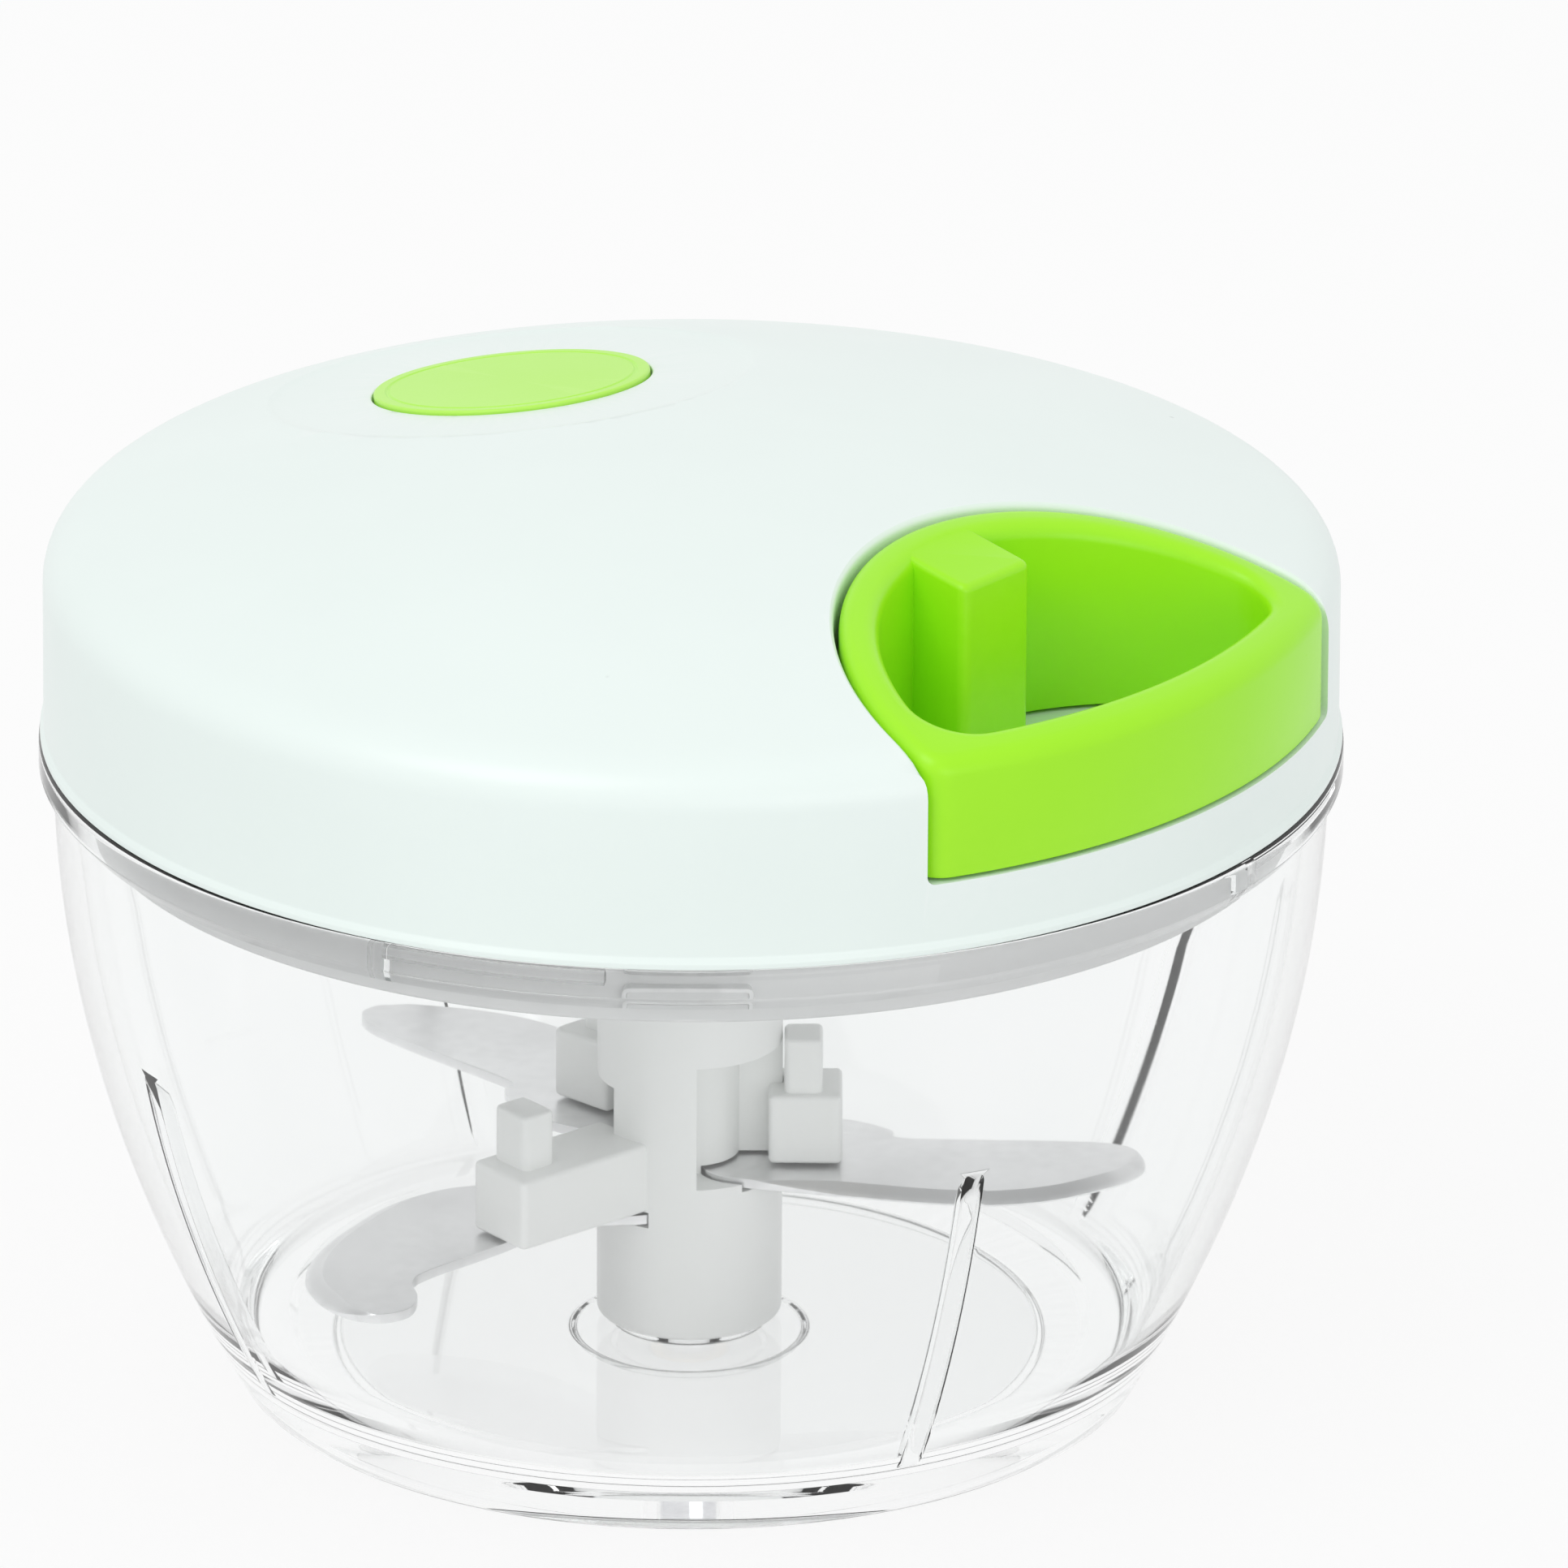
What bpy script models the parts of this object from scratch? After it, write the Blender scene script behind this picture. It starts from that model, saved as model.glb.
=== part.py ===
"""Food chopper worked by a pull cord: a clear bowl, a three-blade rotor, and a lid with a cord reel inside.

Metres, +Z up. The origin is on the bowl's axis, on the surface that the bowl stands on.
"""

import math

import bmesh
import bpy
from mathutils import Matrix, Vector

MM = 0.001

# Clearances
SEAT_GAP = 0.3 * MM
RUN_GAP = 0.1 * MM

# Smoothness of round pieces
LARGE_STEPS = 48
MEDIUM_STEPS = 28
SMALL_STEPS = 16
SCREW_STEPS = 8
KNOT_STEPS = 8
WALL_STEPS = 6
RIB_STEPS = 5
DOME_STEPS = 6
SHOULDER_STEPS = 3
CORD_SIDES_LEVEL = 1
CORD_TURN_STEPS = 24
CORD_BEND_STEPS = 6
SPRING_TURN_STEPS = 16
OUTLINE_STEPS = 3
BEVEL_START_STEPS = 4
HANDLE_OUTER_STEPS = 12
HANDLE_SIDE_STEPS = 24
HANDLE_CORNER_STEPS = 4
BAYONET_STEPS = 5
NOTCH_STEPS = 5

# Bowl
RIM_RADIUS = 62.5 * MM
RIM_HEIGHT = 65.0 * MM
LIP_REACH = 1.4 * MM
LIP_HEIGHT = 2.8 * MM
NECK_DROP = 3.0 * MM
BASE_RADIUS = 43.5 * MM
BOWL_WALL = 2.2 * MM
BOWL_EDGE = 0.5 * MM
FLOOR_HEIGHT = 4.5 * MM
FOOT_RECESS = 1.5 * MM
FOOT_WIDTH = 9.0 * MM
FLOOR_RING_INSET = 5.5 * MM
FLOOR_RING_RISE = 0.8 * MM
RIB_COUNT = 4
RIB_AZIMUTH = math.radians(28)
RIB_WIDTH = 2.3 * MM
RIB_DEPTH = 1.3 * MM
RIB_DROP = 25.0 * MM

# Pivot in the bowl
PIVOT_RADIUS = 2.5 * MM
PIVOT_ROUND = 0.5 * MM
PIVOT_BOSS_RADIUS = 7.0 * MM
PIVOT_BOSS_RISE = 0.6 * MM
PIVOT_BOTTOM = 1.6 * MM
PIVOT_DROP = 2.0 * MM
CENTRE_FOOT_RADIUS = 11.0 * MM
CENTRE_FOOT_HEIGHT = 0.5 * MM

# Bayonet between lid base and bowl
LUG_COUNT = 4
LUG_AZIMUTH = math.radians(-90)
LUG_LENGTH = 12.0 * MM
LUG_HEIGHT = 2.1 * MM
LUG_DROP = 5.0 * MM
LUG_REACH = 1.2 * MM
LOCK_ANGLE = math.radians(22)
LEDGE_HEIGHT = 1.4 * MM
LEDGE_REACH = 1.3 * MM
LEDGE_START_GAP = math.radians(1.6)
STOP_GAP = math.radians(0.6)
STOP_ANGLE = math.radians(1.5)

# Lid base
SKIRT_GAP = 1.7 * MM
SKIRT_WALL = 1.8 * MM
SKIRT_DEPTH = 7.0 * MM
SKIRT_EDGE = 0.4 * MM
BASE_FLOOR_RISE = 2.0 * MM
BASE_FLOOR_THICK = 2.0 * MM
FLANGE_THICK = 1.5 * MM
COLLAR_DROP = 2.4 * MM
COLLAR_WALL = 2.4 * MM
SEAL_HEIGHT = 1.1 * MM
SEAL_GAP = 0.2 * MM

# Top cover
COVER_SET_IN = 0.5 * MM
COVER_WALL = 2.0 * MM
COVER_SEAM = 0.4 * MM
LID_HEIGHT = 30.0 * MM
DOME_RADIUS = 172.0 * MM
SHOULDER = 4.5 * MM
SHOULDER_DROP = 3.5 * MM
CENTRE_BOSS_RADIUS = 7.5 * MM
CENTRE_BOSS_DROP = 10.7 * MM

# Pocket and pull handle, in a frame turned to the handle's side
HANDLE_AZIMUTH = math.radians(-40.5)
POCKET_SET_IN = 5.5 * MM
POCKET_RADIUS = 29.5 * MM
POCKET_RISE = 6.9 * MM
POCKET_GAP = 0.5 * MM
HANDLE_INSET = 0.2 * MM
HANDLE_CORNER = 3.1 * MM
HANDLE_WALL_INNER = 3.8 * MM
HANDLE_WALL_OUTER = 3.9 * MM
HOLE_CORNER = 5.5 * MM
HANDLE_ROUND = 1.5 * MM
BLOCK_START = 2.5 * MM
BLOCK_LENGTH = 8.2 * MM
BLOCK_WIDTH = 9.6 * MM
BLOCK_CORNER = 1.0 * MM
BLOCK_DROP = 0.3 * MM

# Badge and the dish round it
BADGE_AZIMUTH = math.radians(123.7)
BADGE_DISTANCE = 31.9 * MM
BADGE_RADIUS = 13.4 * MM
BADGE_THICK = 1.2 * MM
BADGE_PROUD = 0.4 * MM
BADGE_EDGE = 0.3 * MM
DISH_MARGIN = 9.6 * MM
DISH_STEP = 0.25 * MM
DISH_PAD = 2.4 * MM

# Cord
CORD_DIAMETER = 1.8 * MM
CORD_RISE = 14.0 * MM
CORD_TURNS = 4.0
CORD_SPACING = 0.45 * MM
CORD_BEND = 3.0 * MM

# Eyelet in the pocket's wall
EYELET_LENGTH = 2.5 * MM
EYELET_THROAT = 1.3 * MM
EYELET_MOUTH = 3.2 * MM
EYELET_FLARE = 0.25
EYELET_WALL = 0.8 * MM
EYELET_FLANGE = 1.2 * MM
EYELET_FLANGE_THICK = 1.0 * MM

# Knot in the handle's block, in a cell that is open below, and the plug that closes the cell
KNOT_RADIUS = 2.2 * MM
CELL_GAP = 0.7 * MM
CELL_WALL = 1.0 * MM
PLUG_THICK = 1.5 * MM

# Reel
DRUM_RADIUS = 15.0 * MM
DRUM_WALL = 1.8 * MM
REEL_TO_EYELET = 2.2 * MM
REEL_FLANGE = 1.5 * MM
REEL_WEB = 2.0 * MM
CAP_THICK = 1.2 * MM
CAP_LEDGE = 0.8 * MM

# Spring, arbor and axle
AXLE_RADIUS = 3.0 * MM
AXLE_EDGE = 0.4 * MM
AXLE_RISE = 0.6 * MM
AXLE_IN_BOSS = 5.0 * MM
ARBOR_WALL = 1.7 * MM
SPRING_THICK = 0.4 * MM
SPRING_TURNS = 5
SLOT_WIDTH = 1.2 * MM
HOOK_LENGTH = 1.2 * MM
WASHER_THICK = 0.5 * MM
WASHER_WIDTH = 3.2 * MM

# Drive coupler and its bearing
SHAFT_RADIUS = 8.0 * MM
SHAFT_DROP = 0.4 * MM
BUSH_WALL = 1.5 * MM
BUSH_FLANGE_WIDTH = 2.4 * MM
BUSH_FLANGE_THICK = 1.0 * MM
COUPLER_COLLAR_WIDTH = 1.2 * MM
COUPLER_FLANGE_RADIUS = 13.2 * MM
COUPLER_FLANGE_THICK = 1.5 * MM
DOG_LENGTH = 6.4 * MM
DOG_WIDTH = 4.0 * MM
DOG_TIP_GAP = 0.4 * MM
DOG_CORE_RADIUS = 3.6 * MM

# Screws
COVER_SCREW_COUNT = 4
COVER_SCREW_SET_IN = 8.4 * MM
COVER_SCREW_RADIUS = 1.3 * MM
COVER_SCREW_LENGTH = 9.2 * MM
COVER_BOSS_RADIUS = 3.6 * MM
COUPLER_SCREW_COUNT = 3
COUPLER_SCREW_SET_IN = 2.1 * MM
COUPLER_SCREW_RADIUS = 0.8 * MM
SCREW_HEAD_RATIO = 2.0
SCREW_HEAD_THICK = 1.0 * MM

# Rotor
HUB_WALL = 1.05 * MM
HUB_CORE_RADIUS = 4.8 * MM
HUB_EDGE = 0.5 * MM
HUB_TOP_GAP = 0.6 * MM
HUB_BUSH_WALL = 1.1 * MM
SOCKET_RADIUS = 7.6 * MM
SOCKET_WALL = 1.0 * MM
SOCKET_FLOOR = 1.0 * MM
SOCKET_RIB_WIDTH = 3.0 * MM
SOCKET_RIB_REACH = 2.3 * MM
DOG_END_GAP = 0.5 * MM
NOTCH_HEIGHT = 13.0 * MM
NOTCH_EDGE = 0.7 * MM
ARM_START = 7.6 * MM
ARM_REACH = 14.7 * MM
LONG_ARM_REACH = 23.5 * MM
ARM_SIDE_LOW = -4.2 * MM
ARM_SIDE_HIGH = 3.5 * MM
ARM_HEIGHT = 7.0 * MM
POST_SET_IN = 1.9 * MM
POST_LENGTH = 3.7 * MM
POST_SIDE_LOW = -3.4 * MM
POST_SIDE_HIGH = 1.4 * MM
POST_HEIGHT = 12.5 * MM
BLADE_THICK = 1.0 * MM
BLADE_BEVEL = 1.6 * MM
LOWER_BLADE_HEIGHT = 17.0 * MM
MIDDLE_BLADE_RISE = 3.5 * MM
UPPER_BLADE_RISE = 2.4 * MM
LOWER_BLADE_AZIMUTH = math.radians(-140)
MIDDLE_BLADE_AZIMUTH = math.radians(0)
UPPER_BLADE_AZIMUTH = math.radians(138)

# Blade outlines in millimetres: the spine from root to tip, then the ground edge back to the root
STRAIGHT_SPINE = (
    (2.2, 5.4),
    (8.0, 7.6),
    (14.7, 8.1),
    (19.4, 5.4),
    (20.4, 3.4),
    (28.3, 3.0),
    (36.0, 2.7),
    (41.1, 2.0),
    (43.4, 0.2),
)
STRAIGHT_EDGE = (
    (44.1, -2.6),
    (42.6, -5.2),
    (40.0, -7.2),
    (35.4, -9.8),
    (30.2, -11.2),
    (24.8, -11.1),
    (19.3, -10.2),
    (12.0, -8.6),
)
STRAIGHT_ROOT = ((6.5, -7.4), (2.4, -6.0), (0.8, -2.6), (0.8, 2.0))
HOOKED_SPINE = (
    (2.2, 4.6),
    (8.0, 3.4),
    (15.0, -0.6),
    (24.0, 0.2),
    (32.6, 0.6),
    (35.6, 1.8),
    (37.4, 4.8),
    (40.0, 6.6),
    (43.0, 5.6),
)
HOOKED_EDGE = (
    (44.5, 1.6),
    (43.4, -4.0),
    (40.4, -8.2),
    (35.6, -11.6),
    (30.0, -14.0),
    (24.4, -15.6),
    (18.6, -15.4),
    (12.6, -12.4),
)
HOOKED_ROOT = ((7.0, -9.0), (2.8, -6.6), (0.8, -2.6), (0.8, 1.6))

# How far a joined piece reaches into its neighbour, and how far a cutter runs past a face
PAD_OVERLAP = 0.5 * MM
PAST = 1.0 * MM
BEYOND = 30.0 * MM

# Radii that follow from the sizes above, from the rim inwards
NECK_RADIUS = RIM_RADIUS - LIP_REACH
INNER_NECK_RADIUS = NECK_RADIUS - BOWL_WALL
SKIRT_RADIUS = INNER_NECK_RADIUS - SKIRT_GAP
FLOOR_RING_RADIUS = BASE_RADIUS - FLOOR_RING_INSET
COVER_RADIUS = RIM_RADIUS - COVER_SET_IN
COVER_INNER_RADIUS = COVER_RADIUS - COVER_WALL
COVER_SCREW_CIRCLE = SKIRT_RADIUS - SKIRT_WALL - COVER_SCREW_SET_IN
COVER_SCREW_HOLE = COVER_SCREW_RADIUS + SEAT_GAP
DISH_RADIUS = BADGE_RADIUS + DISH_MARGIN
POCKET_CENTRE = COVER_RADIUS - POCKET_SET_IN
POCKET_INNER_END = POCKET_CENTRE - POCKET_RADIUS
HANDLE_SIDE_RADIUS = POCKET_RADIUS - POCKET_GAP
HANDLE_INNER_END = POCKET_CENTRE - HANDLE_SIDE_RADIUS
HANDLE_OUTER_RADIUS = COVER_RADIUS - HANDLE_INSET
BLOCK_INNER = HANDLE_INNER_END + BLOCK_START
BLOCK_REACH = BLOCK_INNER + BLOCK_LENGTH
CELL_RADIUS = KNOT_RADIUS + CELL_GAP
CELL_CENTRE = BLOCK_REACH - CELL_WALL - CELL_RADIUS
EYELET_BEND = POCKET_INNER_END - EYELET_LENGTH
EYELET_RADIUS = EYELET_MOUTH + EYELET_WALL
EYELET_START = POCKET_INNER_END - COVER_WALL - SEAT_GAP - EYELET_FLANGE_THICK
REEL_RADIUS = EYELET_START - REEL_TO_EYELET
CORD_RADIUS = CORD_DIAMETER / 2
CORD_PITCH = CORD_DIAMETER + CORD_SPACING
WINDING_RADIUS = DRUM_RADIUS + SEAT_GAP + CORD_RADIUS
CHAMBER_RADIUS = DRUM_RADIUS - DRUM_WALL
CAP_RADIUS = CHAMBER_RADIUS + CAP_LEDGE
AXLE_BORE = AXLE_RADIUS + RUN_GAP
AXLE_SEAT = AXLE_RADIUS + SEAT_GAP
ARBOR_RADIUS = AXLE_SEAT + ARBOR_WALL
BUSH_RADIUS = SHAFT_RADIUS + RUN_GAP + BUSH_WALL
BUSH_HOLE = BUSH_RADIUS + SEAT_GAP
COLLAR_RADIUS = BUSH_HOLE + COLLAR_WALL
COUPLER_SCREW_CIRCLE = COUPLER_FLANGE_RADIUS - COUPLER_SCREW_SET_IN
COUPLER_SCREW_HOLE = COUPLER_SCREW_RADIUS + SEAT_GAP
SOCKET_INNER_RADIUS = SOCKET_RADIUS - SOCKET_WALL
SOCKET_HOLE = SOCKET_RADIUS + SEAT_GAP
DOG_TIP_RADIUS = SOCKET_INNER_RADIUS - DOG_TIP_GAP
HUB_RADIUS = SOCKET_HOLE + HUB_WALL
HUB_BUSH_BORE = PIVOT_RADIUS + RUN_GAP
HUB_BUSH_RADIUS = HUB_BUSH_BORE + HUB_BUSH_WALL

# Heights that follow, for the bowl and the lid
NECK_HEIGHT = RIM_HEIGHT - NECK_DROP
RIB_TOP = RIM_HEIGHT - RIB_DROP
PIVOT_SEAT = FLOOR_HEIGHT + PIVOT_BOSS_RISE
PIVOT_TOP = LOWER_BLADE_HEIGHT - PIVOT_DROP
SKIRT_BOTTOM = RIM_HEIGHT - SKIRT_DEPTH
LUG_BOTTOM = RIM_HEIGHT - LUG_DROP
LUG_TOP = LUG_BOTTOM + LUG_HEIGHT
LEDGE_BOTTOM = LUG_TOP + SEAT_GAP
LEDGE_TOP = LEDGE_BOTTOM + LEDGE_HEIGHT
COVER_BOTTOM = RIM_HEIGHT + COVER_SEAM
FLANGE_BOTTOM = COVER_BOTTOM + SEAL_GAP
BASE_FLOOR_BOTTOM = SKIRT_BOTTOM + BASE_FLOOR_RISE
BASE_FLOOR_TOP = BASE_FLOOR_BOTTOM + BASE_FLOOR_THICK
COLLAR_BOTTOM = BASE_FLOOR_BOTTOM - COLLAR_DROP
DOME_TOP = RIM_HEIGHT + LID_HEIGHT
CENTRE_BOSS_BOTTOM = DOME_TOP - CENTRE_BOSS_DROP
COVER_BOSS_BOTTOM = BASE_FLOOR_TOP + SEAT_GAP
COVER_SCREW_HEAD = BASE_FLOOR_BOTTOM - SEAT_GAP
POCKET_FLOOR = RIM_HEIGHT + POCKET_RISE
POCKET_UNDERSIDE = POCKET_FLOOR - COVER_WALL
HANDLE_BOTTOM = POCKET_FLOOR + SEAT_GAP

# Heights that follow, for the reel and its drive
CORD_LEVEL = RIM_HEIGHT + CORD_RISE
DRUM_TOP = CORD_LEVEL + CORD_RADIUS + SEAT_GAP
DRUM_BOTTOM = CORD_LEVEL - CORD_TURNS * CORD_PITCH - CORD_RADIUS - SEAT_GAP
REEL_TOP = DRUM_TOP + REEL_FLANGE
REEL_BOTTOM = DRUM_BOTTOM - REEL_FLANGE
WEB_TOP = REEL_BOTTOM + REEL_WEB
CAP_BOTTOM = REEL_TOP - CAP_THICK
AXLE_BOTTOM = BASE_FLOOR_BOTTOM + AXLE_RISE
AXLE_TOP = CENTRE_BOSS_BOTTOM + AXLE_IN_BOSS
WASHER_BOTTOM = WEB_TOP + SEAT_GAP
WASHER_TOP = WASHER_BOTTOM + WASHER_THICK
ARBOR_BOTTOM = WASHER_TOP + SEAT_GAP
ARBOR_TOP = CENTRE_BOSS_BOTTOM - SEAT_GAP
SPRING_BOTTOM = ARBOR_BOTTOM + SEAT_GAP
SPRING_TOP = CAP_BOTTOM - 2 * SEAT_GAP
COUPLER_TOP = REEL_BOTTOM - SEAT_GAP
COUPLER_FLANGE_BOTTOM = COUPLER_TOP - COUPLER_FLANGE_THICK
COUPLER_SCREW_HEAD = COUPLER_FLANGE_BOTTOM - SEAT_GAP
COUPLER_SCREW_TOP = WEB_TOP - 2 * SEAT_GAP
BUSH_BOTTOM = COLLAR_BOTTOM
BUSH_SEAT = BASE_FLOOR_TOP + SEAT_GAP
BUSH_TOP = BUSH_SEAT + BUSH_FLANGE_THICK
SHAFT_BOTTOM = COLLAR_BOTTOM - SHAFT_DROP
DOG_BOTTOM = SHAFT_BOTTOM - DOG_LENGTH

# Heights that follow, for the rotor
HUB_BOTTOM = PIVOT_SEAT + SEAT_GAP
HUB_BUSH_TOP = PIVOT_TOP + SEAT_GAP
HUB_TOP = SHAFT_BOTTOM - HUB_TOP_GAP
SOCKET_TOP = HUB_TOP
SOCKET_BOTTOM = DOG_BOTTOM - DOG_END_GAP - SOCKET_FLOOR
MIDDLE_BLADE_HEIGHT = LOWER_BLADE_HEIGHT + MIDDLE_BLADE_RISE
UPPER_BLADE_HEIGHT = MIDDLE_BLADE_HEIGHT + UPPER_BLADE_RISE


def clear_scene():
    for obj in list(bpy.data.objects):
        bpy.data.objects.remove(obj, do_unlink=True)


def plain_material(name, colour, roughness, metallic=0.0, alpha=1.0):
    """One Principled material for one kind of piece."""
    made = bpy.data.materials.new(name)
    made.use_nodes = True
    made.diffuse_color = (*colour, alpha)
    shader = made.node_tree.nodes["Principled BSDF"]
    shader.inputs["Base Color"].default_value = (*colour, 1.0)
    shader.inputs["Roughness"].default_value = roughness
    shader.inputs["Metallic"].default_value = metallic
    shader.inputs["Alpha"].default_value = alpha
    return made


def frame(name, turn=0.0):
    """An empty that carries the pieces of one moving body, on that body's axis."""
    empty = bpy.data.objects.new(name, None)
    empty.rotation_euler = (0.0, 0.0, turn)
    bpy.context.scene.collection.objects.link(empty)
    return empty


def finish_object(name, data, material, parent, turn):
    obj = bpy.data.objects.new(name, data)
    obj.rotation_euler = (0.0, 0.0, turn)
    obj.parent = parent
    bpy.context.scene.collection.objects.link(obj)
    if material:
        data.materials.append(material)
    return obj


def mesh_object(name, shape, material=None, parent=None, turn=0.0):
    """A smooth-shaded object from a bmesh, with its normals pointing out."""
    bmesh.ops.recalc_face_normals(shape, faces=shape.faces)
    mesh = bpy.data.meshes.new(name)
    shape.to_mesh(mesh)
    shape.free()
    mesh.shade_smooth()
    mesh.set_sharp_from_angle(angle=math.radians(35))
    return finish_object(name, mesh, material, parent, turn)


def helper(name, shape, turn=0.0, place=None):
    """A hidden object that a Boolean uses."""
    obj = mesh_object(name, shape, turn=turn)
    if place:
        obj.matrix_world = place
    obj.hide_render = True
    obj.display_type = "WIRE"
    return obj


def combine(obj, tool, operation):
    modifier = obj.modifiers.new(tool.name, "BOOLEAN")
    modifier.operation = operation
    modifier.solver = "EXACT"
    modifier.object = tool


def cut(obj, tool):
    combine(obj, tool, "DIFFERENCE")


def join(obj, tool):
    combine(obj, tool, "UNION")


def bridge(shape, lower, upper):
    """Faces between two rings of as many points, or between a ring and a single point."""
    count = max(len(lower), len(upper))
    for k in range(count):
        corners = [lower[k % len(lower)], lower[(k + 1) % len(lower)]]
        corners += [upper[(k + 1) % len(upper)], upper[k % len(upper)]]
        face = []
        for corner in corners:
            if corner not in face:
                face.append(corner)
        shape.faces.new(face)


def circle(radius, steps, centre=(0.0, 0.0)):
    return arc(radius, 0, 2 * math.pi * (1 - 1 / steps), steps - 1, centre)


def turned(profile, steps, shape=None):
    """A solid turned about Z from the (radius, height) points of a closed profile."""
    shape = shape or bmesh.new()
    rings = []
    for radius, height in profile:
        points = circle(radius, steps) if radius > 0 else [(0, 0)]
        rings.append([shape.verts.new((x, y, height)) for x, y in points])
    for lower, upper in zip(rings, rings[1:] + rings[:1]):
        if len(lower) + len(upper) > 2:
            bridge(shape, lower, upper)
    return shape


def cylinder(radius, low, high, steps=SMALL_STEPS):
    return turned([(0, low), (radius, low), (radius, high), (0, high)], steps)


def ring(inner, outer, low, high, steps=SMALL_STEPS):
    return turned([(outer, low), (outer, high), (inner, high), (inner, low)], steps)


def prism(outline, low, high, shape=None):
    """An upright solid on an outline of (x, y) points."""
    shape = shape or bmesh.new()
    ends = [[shape.verts.new((x, y, z)) for x, y in outline] for z in (low, high)]
    bridge(shape, ends[0], ends[1])
    shape.faces.new(ends[0])
    shape.faces.new(ends[1])
    return shape


def box(low, high):
    outline = [(low[0], low[1]), (high[0], low[1]), (high[0], high[1]), (low[0], high[1])]
    return prism(outline, low[2], high[2])


def arc(radius, start, end, steps, centre=(0.0, 0.0)):
    """Points on a circle, from the start angle to the end angle."""
    found = []
    for k in range(steps + 1):
        angle = start + (end - start) * k / steps
        found.append((centre[0] + radius * math.cos(angle), centre[1] + radius * math.sin(angle)))
    return found


def sector(inner, outer, start, end, low, high, steps, shape):
    """A curved bar: part of a ring between two angles."""
    outline = arc(outer, start, end, steps) + arc(inner, end, start, steps)
    return prism(outline, low, high, shape)


def through(points):
    """A closed smooth outline through the points, as a few short lines for each point."""
    found = []
    count = len(points)
    for k in range(count):
        before, first, second, after = (Vector(points[(k + n - 1) % count]) for n in range(4))
        for step in range(OUTLINE_STEPS):
            part = step / OUTLINE_STEPS
            tangent_first = (second - before) / 2
            tangent_second = (after - first) / 2
            a = 2 * part**3 - 3 * part**2 + 1
            b = part**3 - 2 * part**2 + part
            c = 3 * part**2 - 2 * part**3
            d = part**3 - part**2
            found.append(tuple(a * first + b * tangent_first + c * second + d * tangent_second))
    return found


def lie_along_x(shape, level):
    """Turns a shape from the Z axis to the X axis, at a height."""
    turn = Matrix.Translation((0, 0, level)) @ Matrix.Rotation(math.radians(90), 4, "Y")
    bmesh.ops.transform(shape, matrix=turn, verts=shape.verts)
    return shape


def cord_object(name, points, material, parent, turn=0.0):
    """A round cord through the points, closed at both ends."""
    curve = bpy.data.curves.new(name, "CURVE")
    curve.dimensions = "3D"
    curve.bevel_depth = CORD_RADIUS
    curve.bevel_resolution = CORD_SIDES_LEVEL
    curve.use_fill_caps = True
    spline = curve.splines.new("POLY")
    spline.points.add(len(points) - 1)
    for point, place in zip(spline.points, points):
        point.co = (*place, 1.0)
    return finish_object(name, curve, material, parent, turn)


def dome_height(radius, drop=0.0):
    """Height of the cover's dome at a distance from the axis."""
    return DOME_TOP - drop - radius**2 / (2 * DOME_RADIUS)


def dome_side(radius, drop):
    """The dome and its rounded shoulder as (radius, height) points, from the axis out to a side radius."""
    turn_in = radius - SHOULDER
    points = []
    for k in range(DOME_STEPS + 1):
        across = turn_in * k / DOME_STEPS
        points.append((across, dome_height(across, drop)))
    start = Vector(points[-1])
    corner = Vector((radius, start.y - SHOULDER * turn_in / DOME_RADIUS))
    end = Vector((radius, corner.y - SHOULDER_DROP))
    for k in range(1, SHOULDER_STEPS + 1):
        part = k / SHOULDER_STEPS
        place = start.lerp(corner, part).lerp(corner.lerp(end, part), part)
        points.append(tuple(place))
    return points


def bowl_radius(height):
    """Outer radius of the bowl: it swells from the base and stands upright at the neck."""
    part = min(height / NECK_HEIGHT, 1.0)
    return BASE_RADIUS + (NECK_RADIUS - BASE_RADIUS) * (1 - (1 - part) ** 2)


def bowl_inner_radius(height):
    slope = 2 * (NECK_RADIUS - BASE_RADIUS) * max(1 - height / NECK_HEIGHT, 0) / NECK_HEIGHT
    return bowl_radius(height) - BOWL_WALL * math.sqrt(1 + slope**2)


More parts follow.
